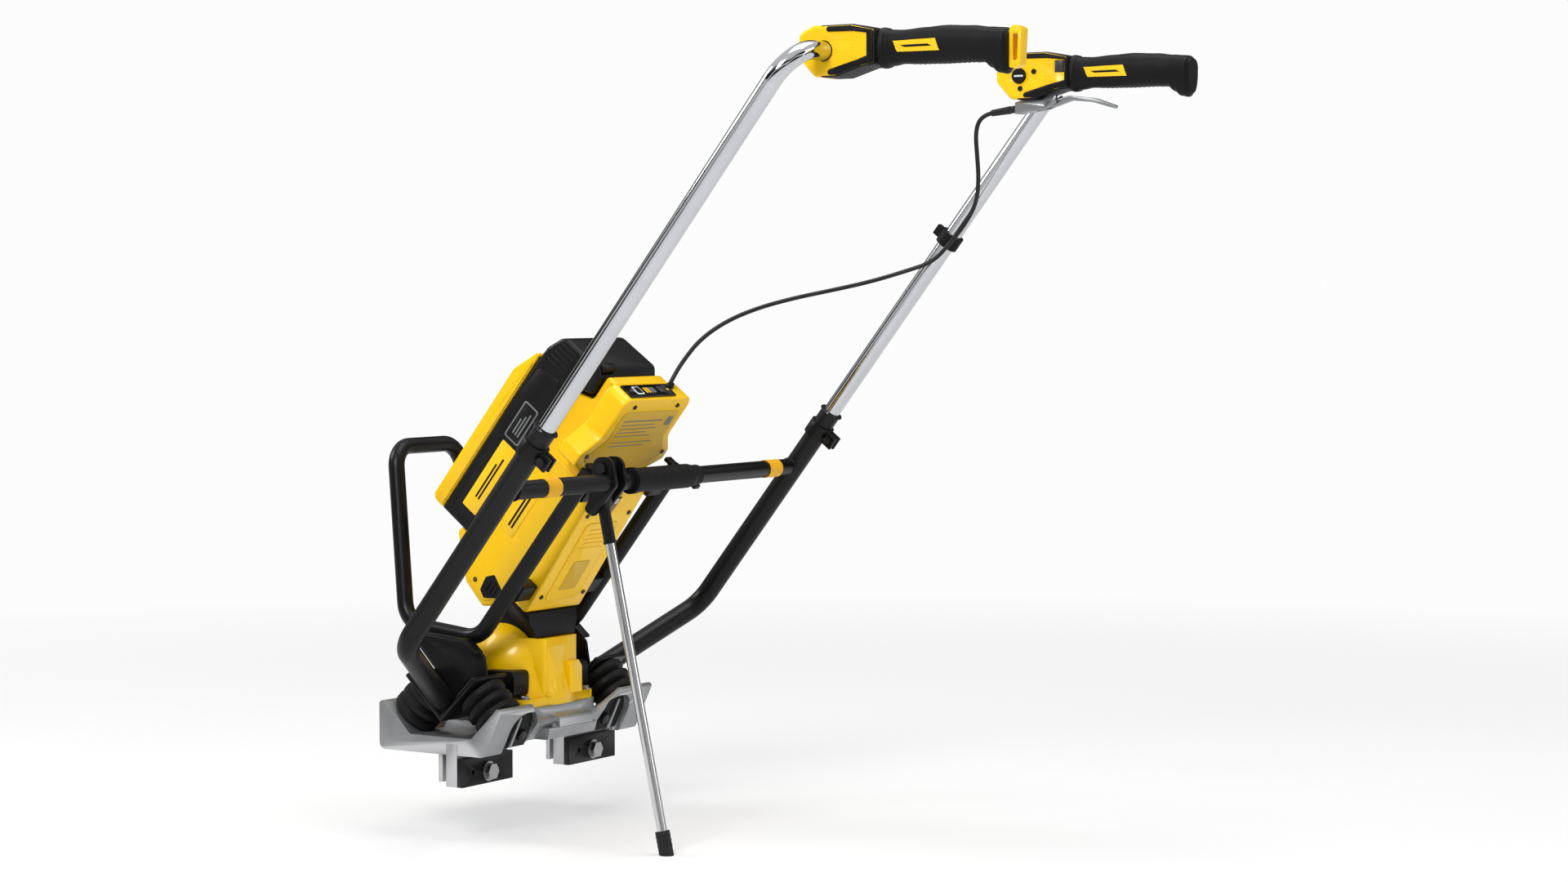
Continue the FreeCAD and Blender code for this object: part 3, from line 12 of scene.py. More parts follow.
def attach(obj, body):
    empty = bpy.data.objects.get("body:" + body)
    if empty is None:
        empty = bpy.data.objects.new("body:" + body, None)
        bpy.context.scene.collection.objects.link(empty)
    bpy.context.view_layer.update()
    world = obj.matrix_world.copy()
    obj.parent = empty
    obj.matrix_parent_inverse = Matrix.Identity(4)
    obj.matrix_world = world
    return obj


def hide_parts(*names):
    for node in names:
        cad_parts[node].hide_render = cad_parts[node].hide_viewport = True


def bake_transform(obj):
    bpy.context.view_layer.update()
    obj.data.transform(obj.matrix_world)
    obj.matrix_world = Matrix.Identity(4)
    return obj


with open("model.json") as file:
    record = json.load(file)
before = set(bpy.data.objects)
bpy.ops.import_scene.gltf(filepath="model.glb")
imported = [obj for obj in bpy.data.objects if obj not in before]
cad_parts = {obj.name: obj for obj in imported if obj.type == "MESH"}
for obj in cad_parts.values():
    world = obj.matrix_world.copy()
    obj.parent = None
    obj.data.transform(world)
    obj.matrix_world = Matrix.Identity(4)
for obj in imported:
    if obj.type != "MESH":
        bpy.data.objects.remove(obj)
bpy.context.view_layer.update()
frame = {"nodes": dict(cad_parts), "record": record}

NODE_SLOT = {part["node"]: part["material_slot"] for part in frame["record"]["subparts"]}
NODE_BODY = {node: body for body, nodes in frame["record"]["behaviour"]["bodies"].items()
             for node in nodes}

# The power head's own axes: across the machine, up the frame tubes, and square off them.
SHIFT = 0.1246
LEAN = math.radians(38.16)
HEAD_ORIGIN = Vector((0, SHIFT, 0.455))
UP_TUBE = Vector((0, -math.sin(LEAN), math.cos(LEAN)))
OFF_TUBE = Vector((0, math.cos(LEAN), math.sin(LEAN)))
SIDE = Vector((1, 0, 0))
SIDES = (("left", -1), ("right", 1))


def on_head(x, along, lift):
    """A point on the power head, given in millimetres across, along and off the tubes."""
    return HEAD_ORIGIN + SIDE * (x / 1000) + UP_TUBE * (along / 1000) + OFF_TUBE * (lift / 1000)


def at(x, y, z):
    """A point of the CAD's source, in its millimetres, in this frame."""
    return Vector((x / 1000, y / 1000 + SHIFT, z / 1000))


def placed_object(name, data):
    """A new object in the scene that shows the given data."""
    made = bpy.data.objects.new(name, data)
    bpy.context.scene.collection.objects.link(made)
    return made


# ---------------------------------------------------------------- materials

def new_material(name):
    """An empty node material with its nodes, its links and its surface shader."""
    material = bpy.data.materials.new(name)
    material.use_nodes = True
    nodes = material.node_tree.nodes
    shader = nodes["Principled BSDF"]
    return material, nodes, material.node_tree.links, shader


def object_noise(nodes, links, scale, detail=4.0, stretch=(1, 1, 1)):
    """Noise in the piece's own coordinates, so that it stays on the piece as it moves."""
    place = nodes.new("ShaderNodeTexCoord")
    mapping = nodes.new("ShaderNodeMapping")
    mapping.inputs["Scale"].default_value = stretch
    noise = nodes.new("ShaderNodeTexNoise")
    noise.inputs["Scale"].default_value = scale
    noise.inputs["Detail"].default_value = detail
    links.new(place.outputs["Object"], mapping.inputs["Vector"])
    links.new(mapping.outputs["Vector"], noise.inputs["Vector"])
    return noise


def mixed_colour(nodes, links, factor, low, high):
    """A colour that runs from low to high as the factor runs from 0 to 1."""
    mix = nodes.new("ShaderNodeMix")
    mix.data_type = "RGBA"
    mix.inputs["A"].default_value = (*low, 1)
    mix.inputs["B"].default_value = (*high, 1)
    links.new(factor, mix.inputs["Factor"])
    return mix.outputs["Result"]


def spread(nodes, links, value, low, high):
    """Maps a 0.3 to 0.7 noise value onto low to high."""
    change = nodes.new("ShaderNodeMapRange")
    change.inputs["From Min"].default_value = 0.3
    change.inputs["From Max"].default_value = 0.7
    change.inputs["To Min"].default_value = low
    change.inputs["To Max"].default_value = high
    links.new(value, change.inputs["Value"])
    return change.outputs["Result"]


def surface(name, colour, shade=0.9, rough=(0.3, 0.4), metallic=0.0, blotch=14, grain=900,
            bump=0.02, coat=0.0, stretch=(1, 1, 1), edge=None, distance=0.0004, gloss=0.5):
    """A finish with slow colour drift, fine grain, uneven roughness and, if asked, worn edges."""
    material, nodes, links, shader = new_material(name)
    slow = object_noise(nodes, links, blotch)
    fine = object_noise(nodes, links, grain, 3.0, stretch)
    drift = spread(nodes, links, slow.outputs["Fac"], 0, 1)
    dark = tuple(c * shade for c in colour)
    result = mixed_colour(nodes, links, drift, dark, colour)
    if edge is not None:
        geometry = nodes.new("ShaderNodeNewGeometry")
        worn = nodes.new("ShaderNodeMapRange")
        worn.inputs["From Min"].default_value = 0.53
        worn.inputs["From Max"].default_value = 0.62
        links.new(geometry.outputs["Pointiness"], worn.inputs["Value"])
        mix = nodes.new("ShaderNodeMix")
        mix.data_type = "RGBA"
        mix.inputs["B"].default_value = (*edge, 1)
        links.new(worn.outputs["Result"], mix.inputs["Factor"])
        links.new(result, mix.inputs["A"])
        result = mix.outputs["Result"]
    links.new(result, shader.inputs["Base Color"])
    links.new(spread(nodes, links, fine.outputs["Fac"], *rough), shader.inputs["Roughness"])
    lumps = nodes.new("ShaderNodeBump")
    lumps.inputs["Strength"].default_value = bump
    lumps.inputs["Distance"].default_value = distance
    links.new(fine.outputs["Fac"], lumps.inputs["Height"])
    links.new(lumps.outputs["Normal"], shader.inputs["Normal"])
    shader.inputs["Metallic"].default_value = metallic
    shader.inputs["Specular IOR Level"].default_value = gloss
    if coat:
        shader.inputs["Coat Weight"].default_value = coat
        shader.inputs["Coat Roughness"].default_value = 0.12
    return material


YELLOW = (0.95, 0.60, 0.0)
MATERIALS = {
    "black_coat": surface("black_coat", (0.008, 0.008, 0.009), 0.75, (0.28, 0.4), grain=1400,
                          bump=0.12, edge=(0.02, 0.02, 0.022), gloss=0.3),
    "yellow_band": surface("yellow_band", (0.85, 0.47, 0.01), 0.85, (0.45, 0.6)),
    "black_rubber": surface("black_rubber", (0.009, 0.009, 0.009), 0.7, (0.5, 0.65), grain=700,
                            bump=0.3, gloss=0.25),
    "dark_steel": surface("dark_steel", (0.06, 0.06, 0.065), 0.7, (0.3, 0.45), 0.85),
    "cast_alloy": surface("cast_alloy", (0.40, 0.41, 0.42), 0.84, (0.34, 0.5), 0.75, blotch=30,
                          grain=1100, bump=0.35, edge=(0.62, 0.62, 0.63)),
    "mount_rubber": surface("mount_rubber", (0.008, 0.008, 0.008), 0.7, (0.42, 0.6), grain=600,
                            bump=0.25, edge=(0.02, 0.02, 0.02), gloss=0.25),
    "yellow_paint": surface("yellow_paint", YELLOW, 0.93, (0.26, 0.36), grain=1500, bump=0.06,
                            coat=0.3),
    "black_plastic": surface("black_plastic", (0.01, 0.01, 0.011), 0.75, (0.38, 0.5),
                             grain=1800, bump=0.2, gloss=0.3),
    "bearing_steel": surface("bearing_steel", (0.55, 0.55, 0.56), 0.85, (0.2, 0.3), 1.0),
    "yellow_plastic": surface("yellow_plastic", YELLOW, 0.95, (0.3, 0.4), grain=2200, bump=0.1,
                              coat=0.15),
    "panel_plastic": surface("panel_plastic", (0.01, 0.01, 0.011), 0.8, (0.15, 0.22)),
    "key_plastic": surface("key_plastic", (0.05, 0.05, 0.055), 0.8, (0.35, 0.5)),
    "winding_steel": surface("winding_steel", (0.3, 0.2, 0.12), 0.7, (0.3, 0.45), 0.8),
    "boot_rubber": surface("boot_rubber", (0.01, 0.01, 0.011), 0.7, (0.4, 0.55), bump=0.2,
                           gloss=0.3),
    "board_plastic": surface("board_plastic", (0.03, 0.16, 0.06), 0.8, (0.3, 0.4)),
    "cable_jacket": surface("cable_jacket", (0.012, 0.012, 0.013), 0.7, (0.35, 0.5),
                            grain=900, bump=0.1),
    "black_plate": surface("black_plate", (0.009, 0.009, 0.01), 0.7, (0.32, 0.45), grain=900,
                           bump=0.15, edge=(0.03, 0.03, 0.033), gloss=0.3),
    "bolt_steel": surface("bolt_steel", (0.42, 0.42, 0.43), 0.8, (0.22, 0.34), 1.0),
    "bright_tube": surface("bright_tube", (0.62, 0.63, 0.65), 0.94, (0.07, 0.1), 1.0, grain=240,
                           bump=0.004, stretch=(1, 0.05, 0.05)),
    "grip_rubber": surface("grip_rubber", (0.009, 0.009, 0.01), 0.7, (0.42, 0.56), grain=1600,
                           bump=0.35, gloss=0.25),
    "grey_alloy": surface("grey_alloy", (0.40, 0.41, 0.42), 0.82, (0.3, 0.42), 0.9, grain=900,
                          bump=0.1),
    "case_plastic": surface("case_plastic", (0.009, 0.009, 0.01), 0.75, (0.32, 0.46),
                            grain=1700, bump=0.25, gloss=0.3),
    "cell_steel": surface("cell_steel", (0.4, 0.42, 0.45), 0.8, (0.25, 0.4), 0.9),
    "stand_alloy": surface("stand_alloy", (0.66, 0.66, 0.67), 0.94, (0.2, 0.25), 1.0, grain=200,
                           bump=0.006, stretch=(1, 1, 0.05)),
    "foot_rubber": surface("foot_rubber", (0.013, 0.013, 0.014), 0.7, (0.45, 0.6), bump=0.25),
}
LABEL_YELLOW = surface("label_yellow", (0.93, 0.60, 0.02), 0.92, (0.25, 0.34), grain=700)
# The yellow darkened to ochre: painted shade for labels on the rear-facing faces.
LABEL_SHADED_YELLOW = surface("label_shaded_yellow", (0.70, 0.45, 0.03), 0.9, (0.38, 0.5), grain=900, bump=0.1)
LABEL_GREY = surface("label_grey", (0.23, 0.235, 0.24), 0.85, (0.3, 0.42), grain=900)
LABEL_WHITE = surface("label_white", (0.75, 0.76, 0.77), 0.93, (0.25, 0.35), grain=900)


BACKDROP_WHITE = 0.98
PAPER_REACH = (0.6, 3.4)
PAPER_FADE = (0.45, 1.0)


def floor_material():
    """Pale paper round the machine that brightens evenly to the backdrop's white."""
    material = surface("floor_paper", (0.93, 0.93, 0.93), 0.985, (0.85, 0.95), blotch=1,
                       grain=60, bump=0.0)
    nodes, links = material.node_tree.nodes, material.node_tree.links
    place = nodes.new("ShaderNodeTexCoord")
    reach = nodes.new("ShaderNodeVectorMath")
    reach.operation = "LENGTH"
    links.new(place.outputs["Object"], reach.inputs[0])
    fade = nodes.new("ShaderNodeMapRange")
    fade.inputs["From Min"].default_value = PAPER_REACH[0]
    fade.inputs["From Max"].default_value = PAPER_REACH[1]
    fade.inputs["To Min"].default_value = PAPER_FADE[0]
    fade.inputs["To Max"].default_value = PAPER_FADE[1]
    links.new(reach.outputs["Value"], fade.inputs["Value"])
    glow = nodes.new("ShaderNodeEmission")
    glow.inputs["Color"].default_value = (1, 1, 1, 1)
    glow.inputs["Strength"].default_value = BACKDROP_WHITE
    either = nodes.new("ShaderNodeMixShader")
    links.new(fade.outputs["Result"], either.inputs["Fac"])
    links.new(nodes["Principled BSDF"].outputs["BSDF"], either.inputs[1])
    links.new(glow.outputs["Emission"], either.inputs[2])
    links.new(either.outputs["Shader"], nodes["Material Output"].inputs["Surface"])
    return material


FLOOR = floor_material()

for node, obj in frame["nodes"].items():
    obj.data.materials.clear()
    obj.data.materials.append(MATERIALS[NODE_SLOT[node]])


# ---------------------------------------------------------------- mesh helpers

def mesh_piece(name, points, faces, slot, body, material=None, smooth=40):
    """A mesh from points and faces, in the frame, riding on a body."""
    mesh = bpy.data.meshes.new(name)
    mesh.from_pydata([tuple(p) for p in points], [], faces)
    mesh.validate()
    work = bmesh.new()
    work.from_mesh(mesh)
    bmesh.ops.recalc_face_normals(work, faces=work.faces)
    work.to_mesh(mesh)
    work.free()
    piece = placed_object(name, mesh)
    mesh.materials.append(material or MATERIALS[slot])
    finish_shading(piece, smooth)
    if body:
        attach(piece, body)
    return piece


def finish_shading(piece, smooth):
    """Smooth shading that breaks where faces meet at more than the given angle."""
    for face in piece.data.polygons:
        face.use_smooth = True
    piece.data.set_sharp_from_angle(angle=math.radians(smooth))


def apply_modifiers(piece):
    """Makes the modifiers' result the piece's own mesh."""
    bpy.context.view_layer.update()
    graph = bpy.context.evaluated_depsgraph_get()
    mesh = bpy.data.meshes.new_from_object(piece.evaluated_get(graph))
    piece.modifiers.clear()
    piece.data = mesh


def soften(piece, width, segments=3, angle=35, limit="ANGLE"):
    """Rounds the piece's sharp edges."""
    bevel = piece.modifiers.new("edges", "BEVEL")
    bevel.width = width
    bevel.segments = segments
    bevel.limit_method = limit
    bevel.angle_limit = math.radians(angle)
    bevel.use_clamp_overlap = True
    bevel.harden_normals = True
    apply_modifiers(piece)
    return piece


def rounded(outline, radii, steps=6):
    """Outline points with each corner rounded; every corner's arc has the same steps."""
    points = [Vector((p[0], p[1])) for p in outline]
    if not isinstance(radii, (list, tuple)):
        radii = [radii] * len(points)
    result = []
    for i, corner in enumerate(points):
        if radii[i] <= 0:
            result.append(corner)
            continue
        before = (points[i - 1] - corner).normalized()
        after = (points[(i + 1) % len(points)] - corner).normalized()
        half = math.acos(max(-1, min(1, before.dot(after)))) / 2
        centre = corner + (before + after).normalized() * (radii[i] / math.sin(half))
        start = corner + before * (radii[i] / math.tan(half)) - centre
        end = corner + after * (radii[i] / math.tan(half)) - centre
        sweep = start.angle_signed(end)
        for k in range(steps + 1):
            turned = start.copy()
            turned.rotate(Matrix.Rotation(-sweep * k / steps, 2))
            result.append(centre + turned)
    return result


def prism(name, outline, place, start, end, slot, body, radii=0, edge=0.0, material=None):
    """An outline in millimetres raised from start to end; place maps (a, b, height)."""
    flat = rounded(outline, radii)
    count = len(flat)
    points = [place(p.x, p.y, start) for p in flat] + [place(p.x, p.y, end) for p in flat]
    faces = [list(range(count))[::-1], list(range(count, 2 * count))]
    faces += [[i, (i + 1) % count, count + (i + 1) % count, count + i] for i in range(count)]
    piece = mesh_piece(name, points, faces, slot, None, material)
    if edge:
        soften(piece, edge)
        finish_shading(piece, 40)
    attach(piece, body)
    return piece


def ring_faces(rings, steps, capped=True):
    """Quads between rings of points that are listed one after another, and both end caps."""
    faces = []
    for ring in range(rings - 1):
        for k in range(steps):
            following = (k + 1) % steps
            faces.append([ring * steps + k, ring * steps + following,
                          (ring + 1) * steps + following, (ring + 1) * steps + k])
    if capped:
        faces.append(list(range(steps))[::-1])
        faces.append([(rings - 1) * steps + k for k in range(steps)])
    return faces


def hexagon(radius, x=0, y=0):
    """Corners of a bolt head."""
    turns = [math.radians(60 * k) for k in range(6)]
    return [(x + radius * math.cos(turn), y + radius * math.sin(turn)) for turn in turns]


def lathe(name, profile, start, direction, slot, body, steps=40, material=None):
    """A profile of (radius, distance) in millimetres turned about a line."""
    axis = Vector(direction).normalized()
    across = axis.orthogonal().normalized()
    other = axis.cross(across)
    points = []
    for radius, distance in profile:
        for k in range(steps):
            turn = 2 * math.pi * k / steps
            spoke = across * math.cos(turn) + other * math.sin(turn)
            points.append(start + axis * (distance / 1000) + spoke * (radius / 1000))
    faces = ring_faces(len(profile), steps)
    return mesh_piece(name, points, faces, slot, body, material, 32)


SAME_POINT = 1e-5
SAME_PLANE = math.radians(1.2)


def softened_copy(node, width, segments=3, angle=35, clear_wells=False):
    """The CAD node's own shape with its sharp edges rounded, shown in its place.

    With clear_wells only outward edges are rounded, so a part in a well still moves freely.
    """
    piece = placed_object(node + "_soft", frame["nodes"][node].data.copy())
    work = bmesh.new()
    work.from_mesh(piece.data)
    bmesh.ops.remove_doubles(work, verts=work.verts, dist=SAME_POINT)
    bmesh.ops.dissolve_limit(work, angle_limit=SAME_PLANE, verts=work.verts, edges=work.edges)
    if clear_wells:
        weight = work.edges.layers.float.new("bevel_weight_edge")
        for edge in work.edges:
            if edge.is_manifold and edge.calc_face_angle_signed() > math.radians(angle):
                edge[weight] = 1.0
    work.to_mesh(piece.data)
    work.free()
    soften(piece, width, segments, angle, "WEIGHT" if clear_wells else "ANGLE")
    finish_shading(piece, 35)
    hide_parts(node)
    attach(piece, NODE_BODY[node])
    return piece


# ---------------------------------------------------------------- camera, light and floor

SOFT_LIGHT = 0.42
ROOM_LIGHT = 0.8
ROOM_SWIRL = 1.6
ROOM_LIFT = 0.7
ROOM_BANDS = ((0.0, 0.02), (0.34, 0.03), (0.40, 0.9), (0.52, 1.0), (0.57, 0.04), (0.78, 0.04),
              (0.84, 0.85), (1.0, 1.0))
CAMERA_PLACE = at(-3334.9, -2232.7, 684.9)
CAMERA_TILT = math.radians(90 - 2.614)
CAMERA_HEADING = math.radians(-58.434)
CAMERA_LENS = 73.15
LAMP_TARGET = Vector((0, 0, 0.5))
LAMPS = (("key", (-3.4, -0.6, 2.9), 1.4, 95), ("fill", (1.2, -3.4, 1.6), 1.8, 26),
         ("rim", (-1.2, 3.2, 2.8), 1.4, 55), ("top", (0.2, -0.4, 3.4), 2.0, 45))
FLOOR_HALF = 9


def world_glow(nodes, strength):
    """A background light of the given strength."""
    glow = nodes.new("ShaderNodeBackground")
    glow.inputs["Strength"].default_value = strength
    return glow


def backdrop(tree):
    """A white room to look at, a dimmer one for soft light, and a flagged one that reflects."""
    nodes, links = tree.nodes, tree.links
    seen = nodes["Background"]
    seen.inputs["Color"].default_value = (1, 1, 1, 1)
    seen.inputs["Strength"].default_value = BACKDROP_WHITE
    soft = world_glow(nodes, SOFT_LIGHT)
    room = world_glow(nodes, ROOM_LIGHT)
    place = nodes.new("ShaderNodeTexCoord")
    height = nodes.new("ShaderNodeSeparateXYZ")
    links.new(place.outputs["Generated"], height.inputs["Vector"])
    uneven = nodes.new("ShaderNodeTexNoise")
    uneven.inputs["Scale"].default_value = ROOM_SWIRL
    uneven.inputs["Detail"].default_value = 0.0
    links.new(place.outputs["Generated"], uneven.inputs["Vector"])
    level = nodes.new("ShaderNodeMath")
    level.operation = "MULTIPLY_ADD"
    level.inputs[1].default_value = ROOM_LIFT
    links.new(uneven.outputs["Fac"], level.inputs[0])
    links.new(height.outputs["Z"], level.inputs[2])
    ramp = nodes.new("ShaderNodeValToRGB")
    elements = ramp.color_ramp.elements
    for position, _ in ROOM_BANDS[1:-1]:
        elements.new(position)
    for element, (position, bright) in zip(elements, ROOM_BANDS):
        element.position = position
        element.color = (bright, bright, bright, 1)
    links.new(level.outputs["Value"], ramp.inputs["Fac"])
    links.new(ramp.outputs["Color"], room.inputs["Color"])
    rays = nodes.new("ShaderNodeLightPath")
    mirrored = nodes.new("ShaderNodeMixShader")
    links.new(rays.outputs["Is Glossy Ray"], mirrored.inputs["Fac"])
    links.new(soft.outputs["Background"], mirrored.inputs[1])
    links.new(room.outputs["Background"], mirrored.inputs[2])
    either = nodes.new("ShaderNodeMixShader")
    links.new(rays.outputs["Is Camera Ray"], either.inputs["Fac"])
    links.new(mirrored.outputs["Shader"], either.inputs[1])
    links.new(seen.outputs["Background"], either.inputs[2])
    links.new(either.outputs["Shader"], nodes["World Output"].inputs["Surface"])


def camera():
    """A long lens, low behind the machine's left side."""
    camera_data = bpy.data.cameras.new("camera")
    viewer = placed_object("camera", camera_data)
    viewer.location = CAMERA_PLACE
    viewer.rotation_euler = (CAMERA_TILT, 0, CAMERA_HEADING)
    camera_data.sensor_width = 36
    camera_data.lens = CAMERA_LENS
    camera_data.clip_end = 60
    bpy.context.scene.camera = viewer


def lamps():
    """Four soft square lamps that face the machine."""
    for name, place, size, power in LAMPS:
        data = bpy.data.lights.new(name, "AREA")
        data.shape = "SQUARE"
        data.size = size
        data.energy = power
        lamp = placed_object(name, data)
        lamp.location = place
        lamp.rotation_euler = (LAMP_TARGET - Vector(place)).to_track_quat("-Z", "Y").to_euler()


def studio():
    """Camera, backdrop, lamps and floor."""
    camera()
    world = bpy.data.worlds.new("studio")
    world.use_nodes = True
    backdrop(world.node_tree)
    bpy.context.scene.world = world
    bpy.context.scene.view_settings.view_transform = "Standard"
    bpy.context.scene.view_settings.gamma = 0.86
    lamps()
    ground = bpy.data.meshes.new("floor")
    corners = [(-1, -1), (1, -1), (1, 1), (-1, 1)]
    ground.from_pydata([(x * FLOOR_HALF, y * FLOOR_HALF, 0) for x, y in corners], [],
                       [[0, 1, 2, 3]])
    ground.materials.append(FLOOR)
    placed_object("floor", ground)


# ---------------------------------------------------------------- throttle cable

CABLE_ROUTE = [
    (238, -344.7, 914.46), (238.4, -330, 911.6), (243, -319, 893), (250, -318, 862),
    (262, -314, 832), (282, -300, 803), (304, -272, 777), (306, -247, 751),
    (300, -226, 728), (284, -193, 716), (258, -158, 703), (225, -120, 692),
    (190, -84, 682), (153, -50, 669), (118, -24, 652), (86, -5, 629), (62, 6, 601),
    (48, 12, 580), (46.3, 15.7, 570.8),
]
CABLE_DIAMETER = 0.0055


def smooth_route(points):
    """Points along the NURBS line that the route's points control."""
    curve = bpy.data.curves.new("route", "CURVE")
    curve.dimensions = "3D"
    curve.resolution_u = 10
    spline = curve.splines.new("NURBS")
    spline.points.add(len(points) - 1)
    for slot, point in zip(spline.points, points):
        slot.co = (*point, 1)
    spline.order_u = 3
    spline.use_endpoint_u = True
    holder = placed_object("route", curve)
    bpy.context.view_layer.update()
    graph = bpy.context.evaluated_depsgraph_get()
    line = bpy.data.meshes.new_from_object(holder.evaluated_get(graph))
    path = [v.co.copy() for v in line.vertices]
    bpy.data.objects.remove(holder)
    return path


def tube_mesh(path, radius, steps=16):
    """Rings along a path, turned as little as possible from one to the next."""
    points = []
    heading = (path[1] - path[0]).normalized()
    across = heading.orthogonal().normalized()
    for i, centre in enumerate(path):
        ahead = path[min(i + 1, len(path) - 1)] - path[max(i - 1, 0)]
        ahead.normalize()
        across = (across - ahead * across.dot(ahead)).normalized()
        other = ahead.cross(across)
        for k in range(steps):
            turn = 2 * math.pi * k / steps
            points.append(centre + (across * math.cos(turn) + other * math.sin(turn)) * radius)
    return points, ring_faces(len(path), steps)


def throttle_cable():
    """The throttle cable, whose upper part runs along the right handle."""
    path = smooth_route([at(*p) for p in CABLE_ROUTE])
    points, faces = tube_mesh(path, CABLE_DIAMETER / 2)
    cable = mesh_piece("cable", points, faces, "cable_jacket", None)
    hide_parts("throttle_cable")
    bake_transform(cable)
    length = sum((b - a).length for a, b in zip(path, path[1:]))


# ---------------------------------------------------------------- grips and hubs

GRIP_X = 238
GRIP_Z = 960.2
GRIP_FRONT = -461.6
GRIP_RUN = 159.8
GRIP_AROUND = 56
GRIP_SQUARENESS = 0.84
RIBS_ALONG_GRIP = 26
RIB_RISE = 0.55
FLASH_LEAN = 0.035
HUB_HALF = 23


def eased(stations, t):
    """Reads (place, value) stations with a smooth rise between them."""
    for (a, low), (b, high) in zip(stations, stations[1:]):
        if t <= b:
            share = (t - a) / (b - a)
            share = share * share * (3 - 2 * share)
            return low + (high - low) * share
    return stations[-1][1]


GRIP_WIDTHS = [(0, 18.4), (0.07, 17.2), (0.16, 16.4), (0.34, 17.6), (0.5, 18.8), (0.7, 17.8),
               (0.84, 16.6), (0.92, 17.4), (0.965, 18.2), (1, 13.5)]
GRIP_TOPS = [(0, 21.5), (0.07, 20.0), (0.16, 19.3), (0.34, 21.0), (0.5, 22.2), (0.7, 20.6),
             (0.85, 18.0), (0.93, 17.0), (0.965, 16.5), (1, 12.5)]
GRIP_BOTTOMS = [(0, 21.5), (0.07, 20.4), (0.16, 18.6), (0.34, 19.4), (0.5, 19.8), (0.7, 19.6),
                (0.80, 20.5), (0.86, 27), (0.91, 32.5), (0.965, 34.0), (1, 29.0)]


def grip_point(sign, t, turn, proud=0.0):
    """A point of the overmould: t runs from hub to end, turn goes round it from the outside."""
    width = eased(GRIP_WIDTHS, t) + proud
    tall = eased(GRIP_TOPS if math.sin(turn) > 0 else GRIP_BOTTOMS, t) + proud
    c, s = math.cos(turn), math.sin(turn)
    x = math.copysign(abs(c) ** GRIP_SQUARENESS, c) * width
    z = math.copysign(abs(s) ** GRIP_SQUARENESS, s) * tall
    ripple = RIB_RISE * math.sin(t * 2 * math.pi * RIBS_ALONG_GRIP) * max(0, -s)
    ripple *= 0.2 < t < 0.76
    return at(sign * GRIP_X + x, GRIP_FRONT - t * GRIP_RUN, GRIP_Z + z - ripple)


def grip_ring(sign, t, proud=0.0):
    """Points round the overmould at one place along it."""
    return [grip_point(sign, t, 2 * math.pi * k / GRIP_AROUND, proud)
            for k in range(GRIP_AROUND)]


def grip(side, sign):
    """The soft overmould, ribbed underneath and flared at its end."""
    rows = 110
    points = [point for i in range(rows + 1) for point in grip_ring(sign, i / rows)]
    faces = ring_faces(rows + 1, GRIP_AROUND)
    piece = mesh_piece(side + "_grip_skin", points, faces, "grip_rubber", None, None, 50)
    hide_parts(side + "_grip")
    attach(piece, side + "_handle")


def grip_patch(name, side, sign, turn_middle, start, end, half_turn, slant, proud, material,
               slot):
    """A thin label that follows the overmould's side: a leaning parallelogram."""
    rows, columns = 20, 6
    points = []
    for layer in (proud, -0.5):
        for i in range(rows + 1):
            for k in range(columns + 1):
                t = start + (end - start) * i / rows + slant * (k / columns - 0.5)
                turn = turn_middle + half_turn * (2 * k / columns - 1)
                points.append(grip_point(sign, t, turn, layer))
    width = columns + 1
    layer_size = (rows + 1) * width
    faces = []
    for base, flip in ((0, False), (layer_size, True)):
        for i in range(rows):
            for k in range(columns):
                face = [base + i * width + k, base + i * width + k + 1,
                        base + (i + 1) * width + k + 1, base + (i + 1) * width + k]
                faces.append(face[::-1] if flip else face)
    rim = list(range(width))
    rim += [i * width + columns for i in range(1, rows + 1)]
    rim += [rows * width + k for k in range(columns - 1, -1, -1)]
    rim += [i * width for i in range(rows - 1, 0, -1)]
    for a, b in zip(rim, rim[1:] + rim[:1]):
        faces.append([a, b, b + layer_size, a + layer_size])
    return mesh_piece(name, points, faces, slot, side + "_handle", material, 30)


def grip_trim(side, sign):
    """Blank yellow flashes on both flanks, a dark inlay on each, and a collar at the hub."""
    for flank, middle in (("outer", math.pi if sign < 0 else 0),
                          ("inner", 0 if sign < 0 else math.pi)):
        lean = FLASH_LEAN if math.cos(middle) < 0 else -FLASH_LEAN
        grip_patch("%s_flash_%s" % (side, flank), side, sign, middle, 0.14, 0.48, 0.26, lean,
                   0.5, LABEL_YELLOW, "yellow_plastic")
        grip_patch("%s_inlay_%s" % (side, flank), side, sign, middle, 0.2, 0.42, 0.035, lean,
                   0.7, MATERIALS["case_plastic"], "grip_rubber")
    rings = ((0.0, 0.0), (0.0, 1.2), (0.012, 1.5), (0.04, 1.3), (0.05, -0.4))
    collar = [point for t, proud in rings for point in grip_ring(sign, t, proud)]
    faces = ring_faces(len(rings), GRIP_AROUND, capped=False)
    mesh_piece(side + "_grip_collar", collar, faces, "grip_rubber", side + "_handle", None, 50)


HUB_FRONT_SPLIT = -392
DIAL_CENTRE = at(0, -395.43, 958.22)
DIAL_WELL_REACH = 0.0098
BUTTON_WELL_FLOOR = 0.221
WELL_CLEARANCE = 0.0003


def open_wells(work):
    """Widens the dial's well and deepens the button's, so that neither part rubs as it moves."""
    for vert in work.verts:
        spoke = Vector((0, vert.co.y - DIAL_CENTRE.y, vert.co.z - DIAL_CENTRE.z))
        if 0 < spoke.length < DIAL_WELL_REACH:
            vert.co += spoke.normalized() * WELL_CLEARANCE
        elif abs(vert.co.x - BUTTON_WELL_FLOOR) < WELL_CLEARANCE / 3:
            vert.co.x += WELL_CLEARANCE


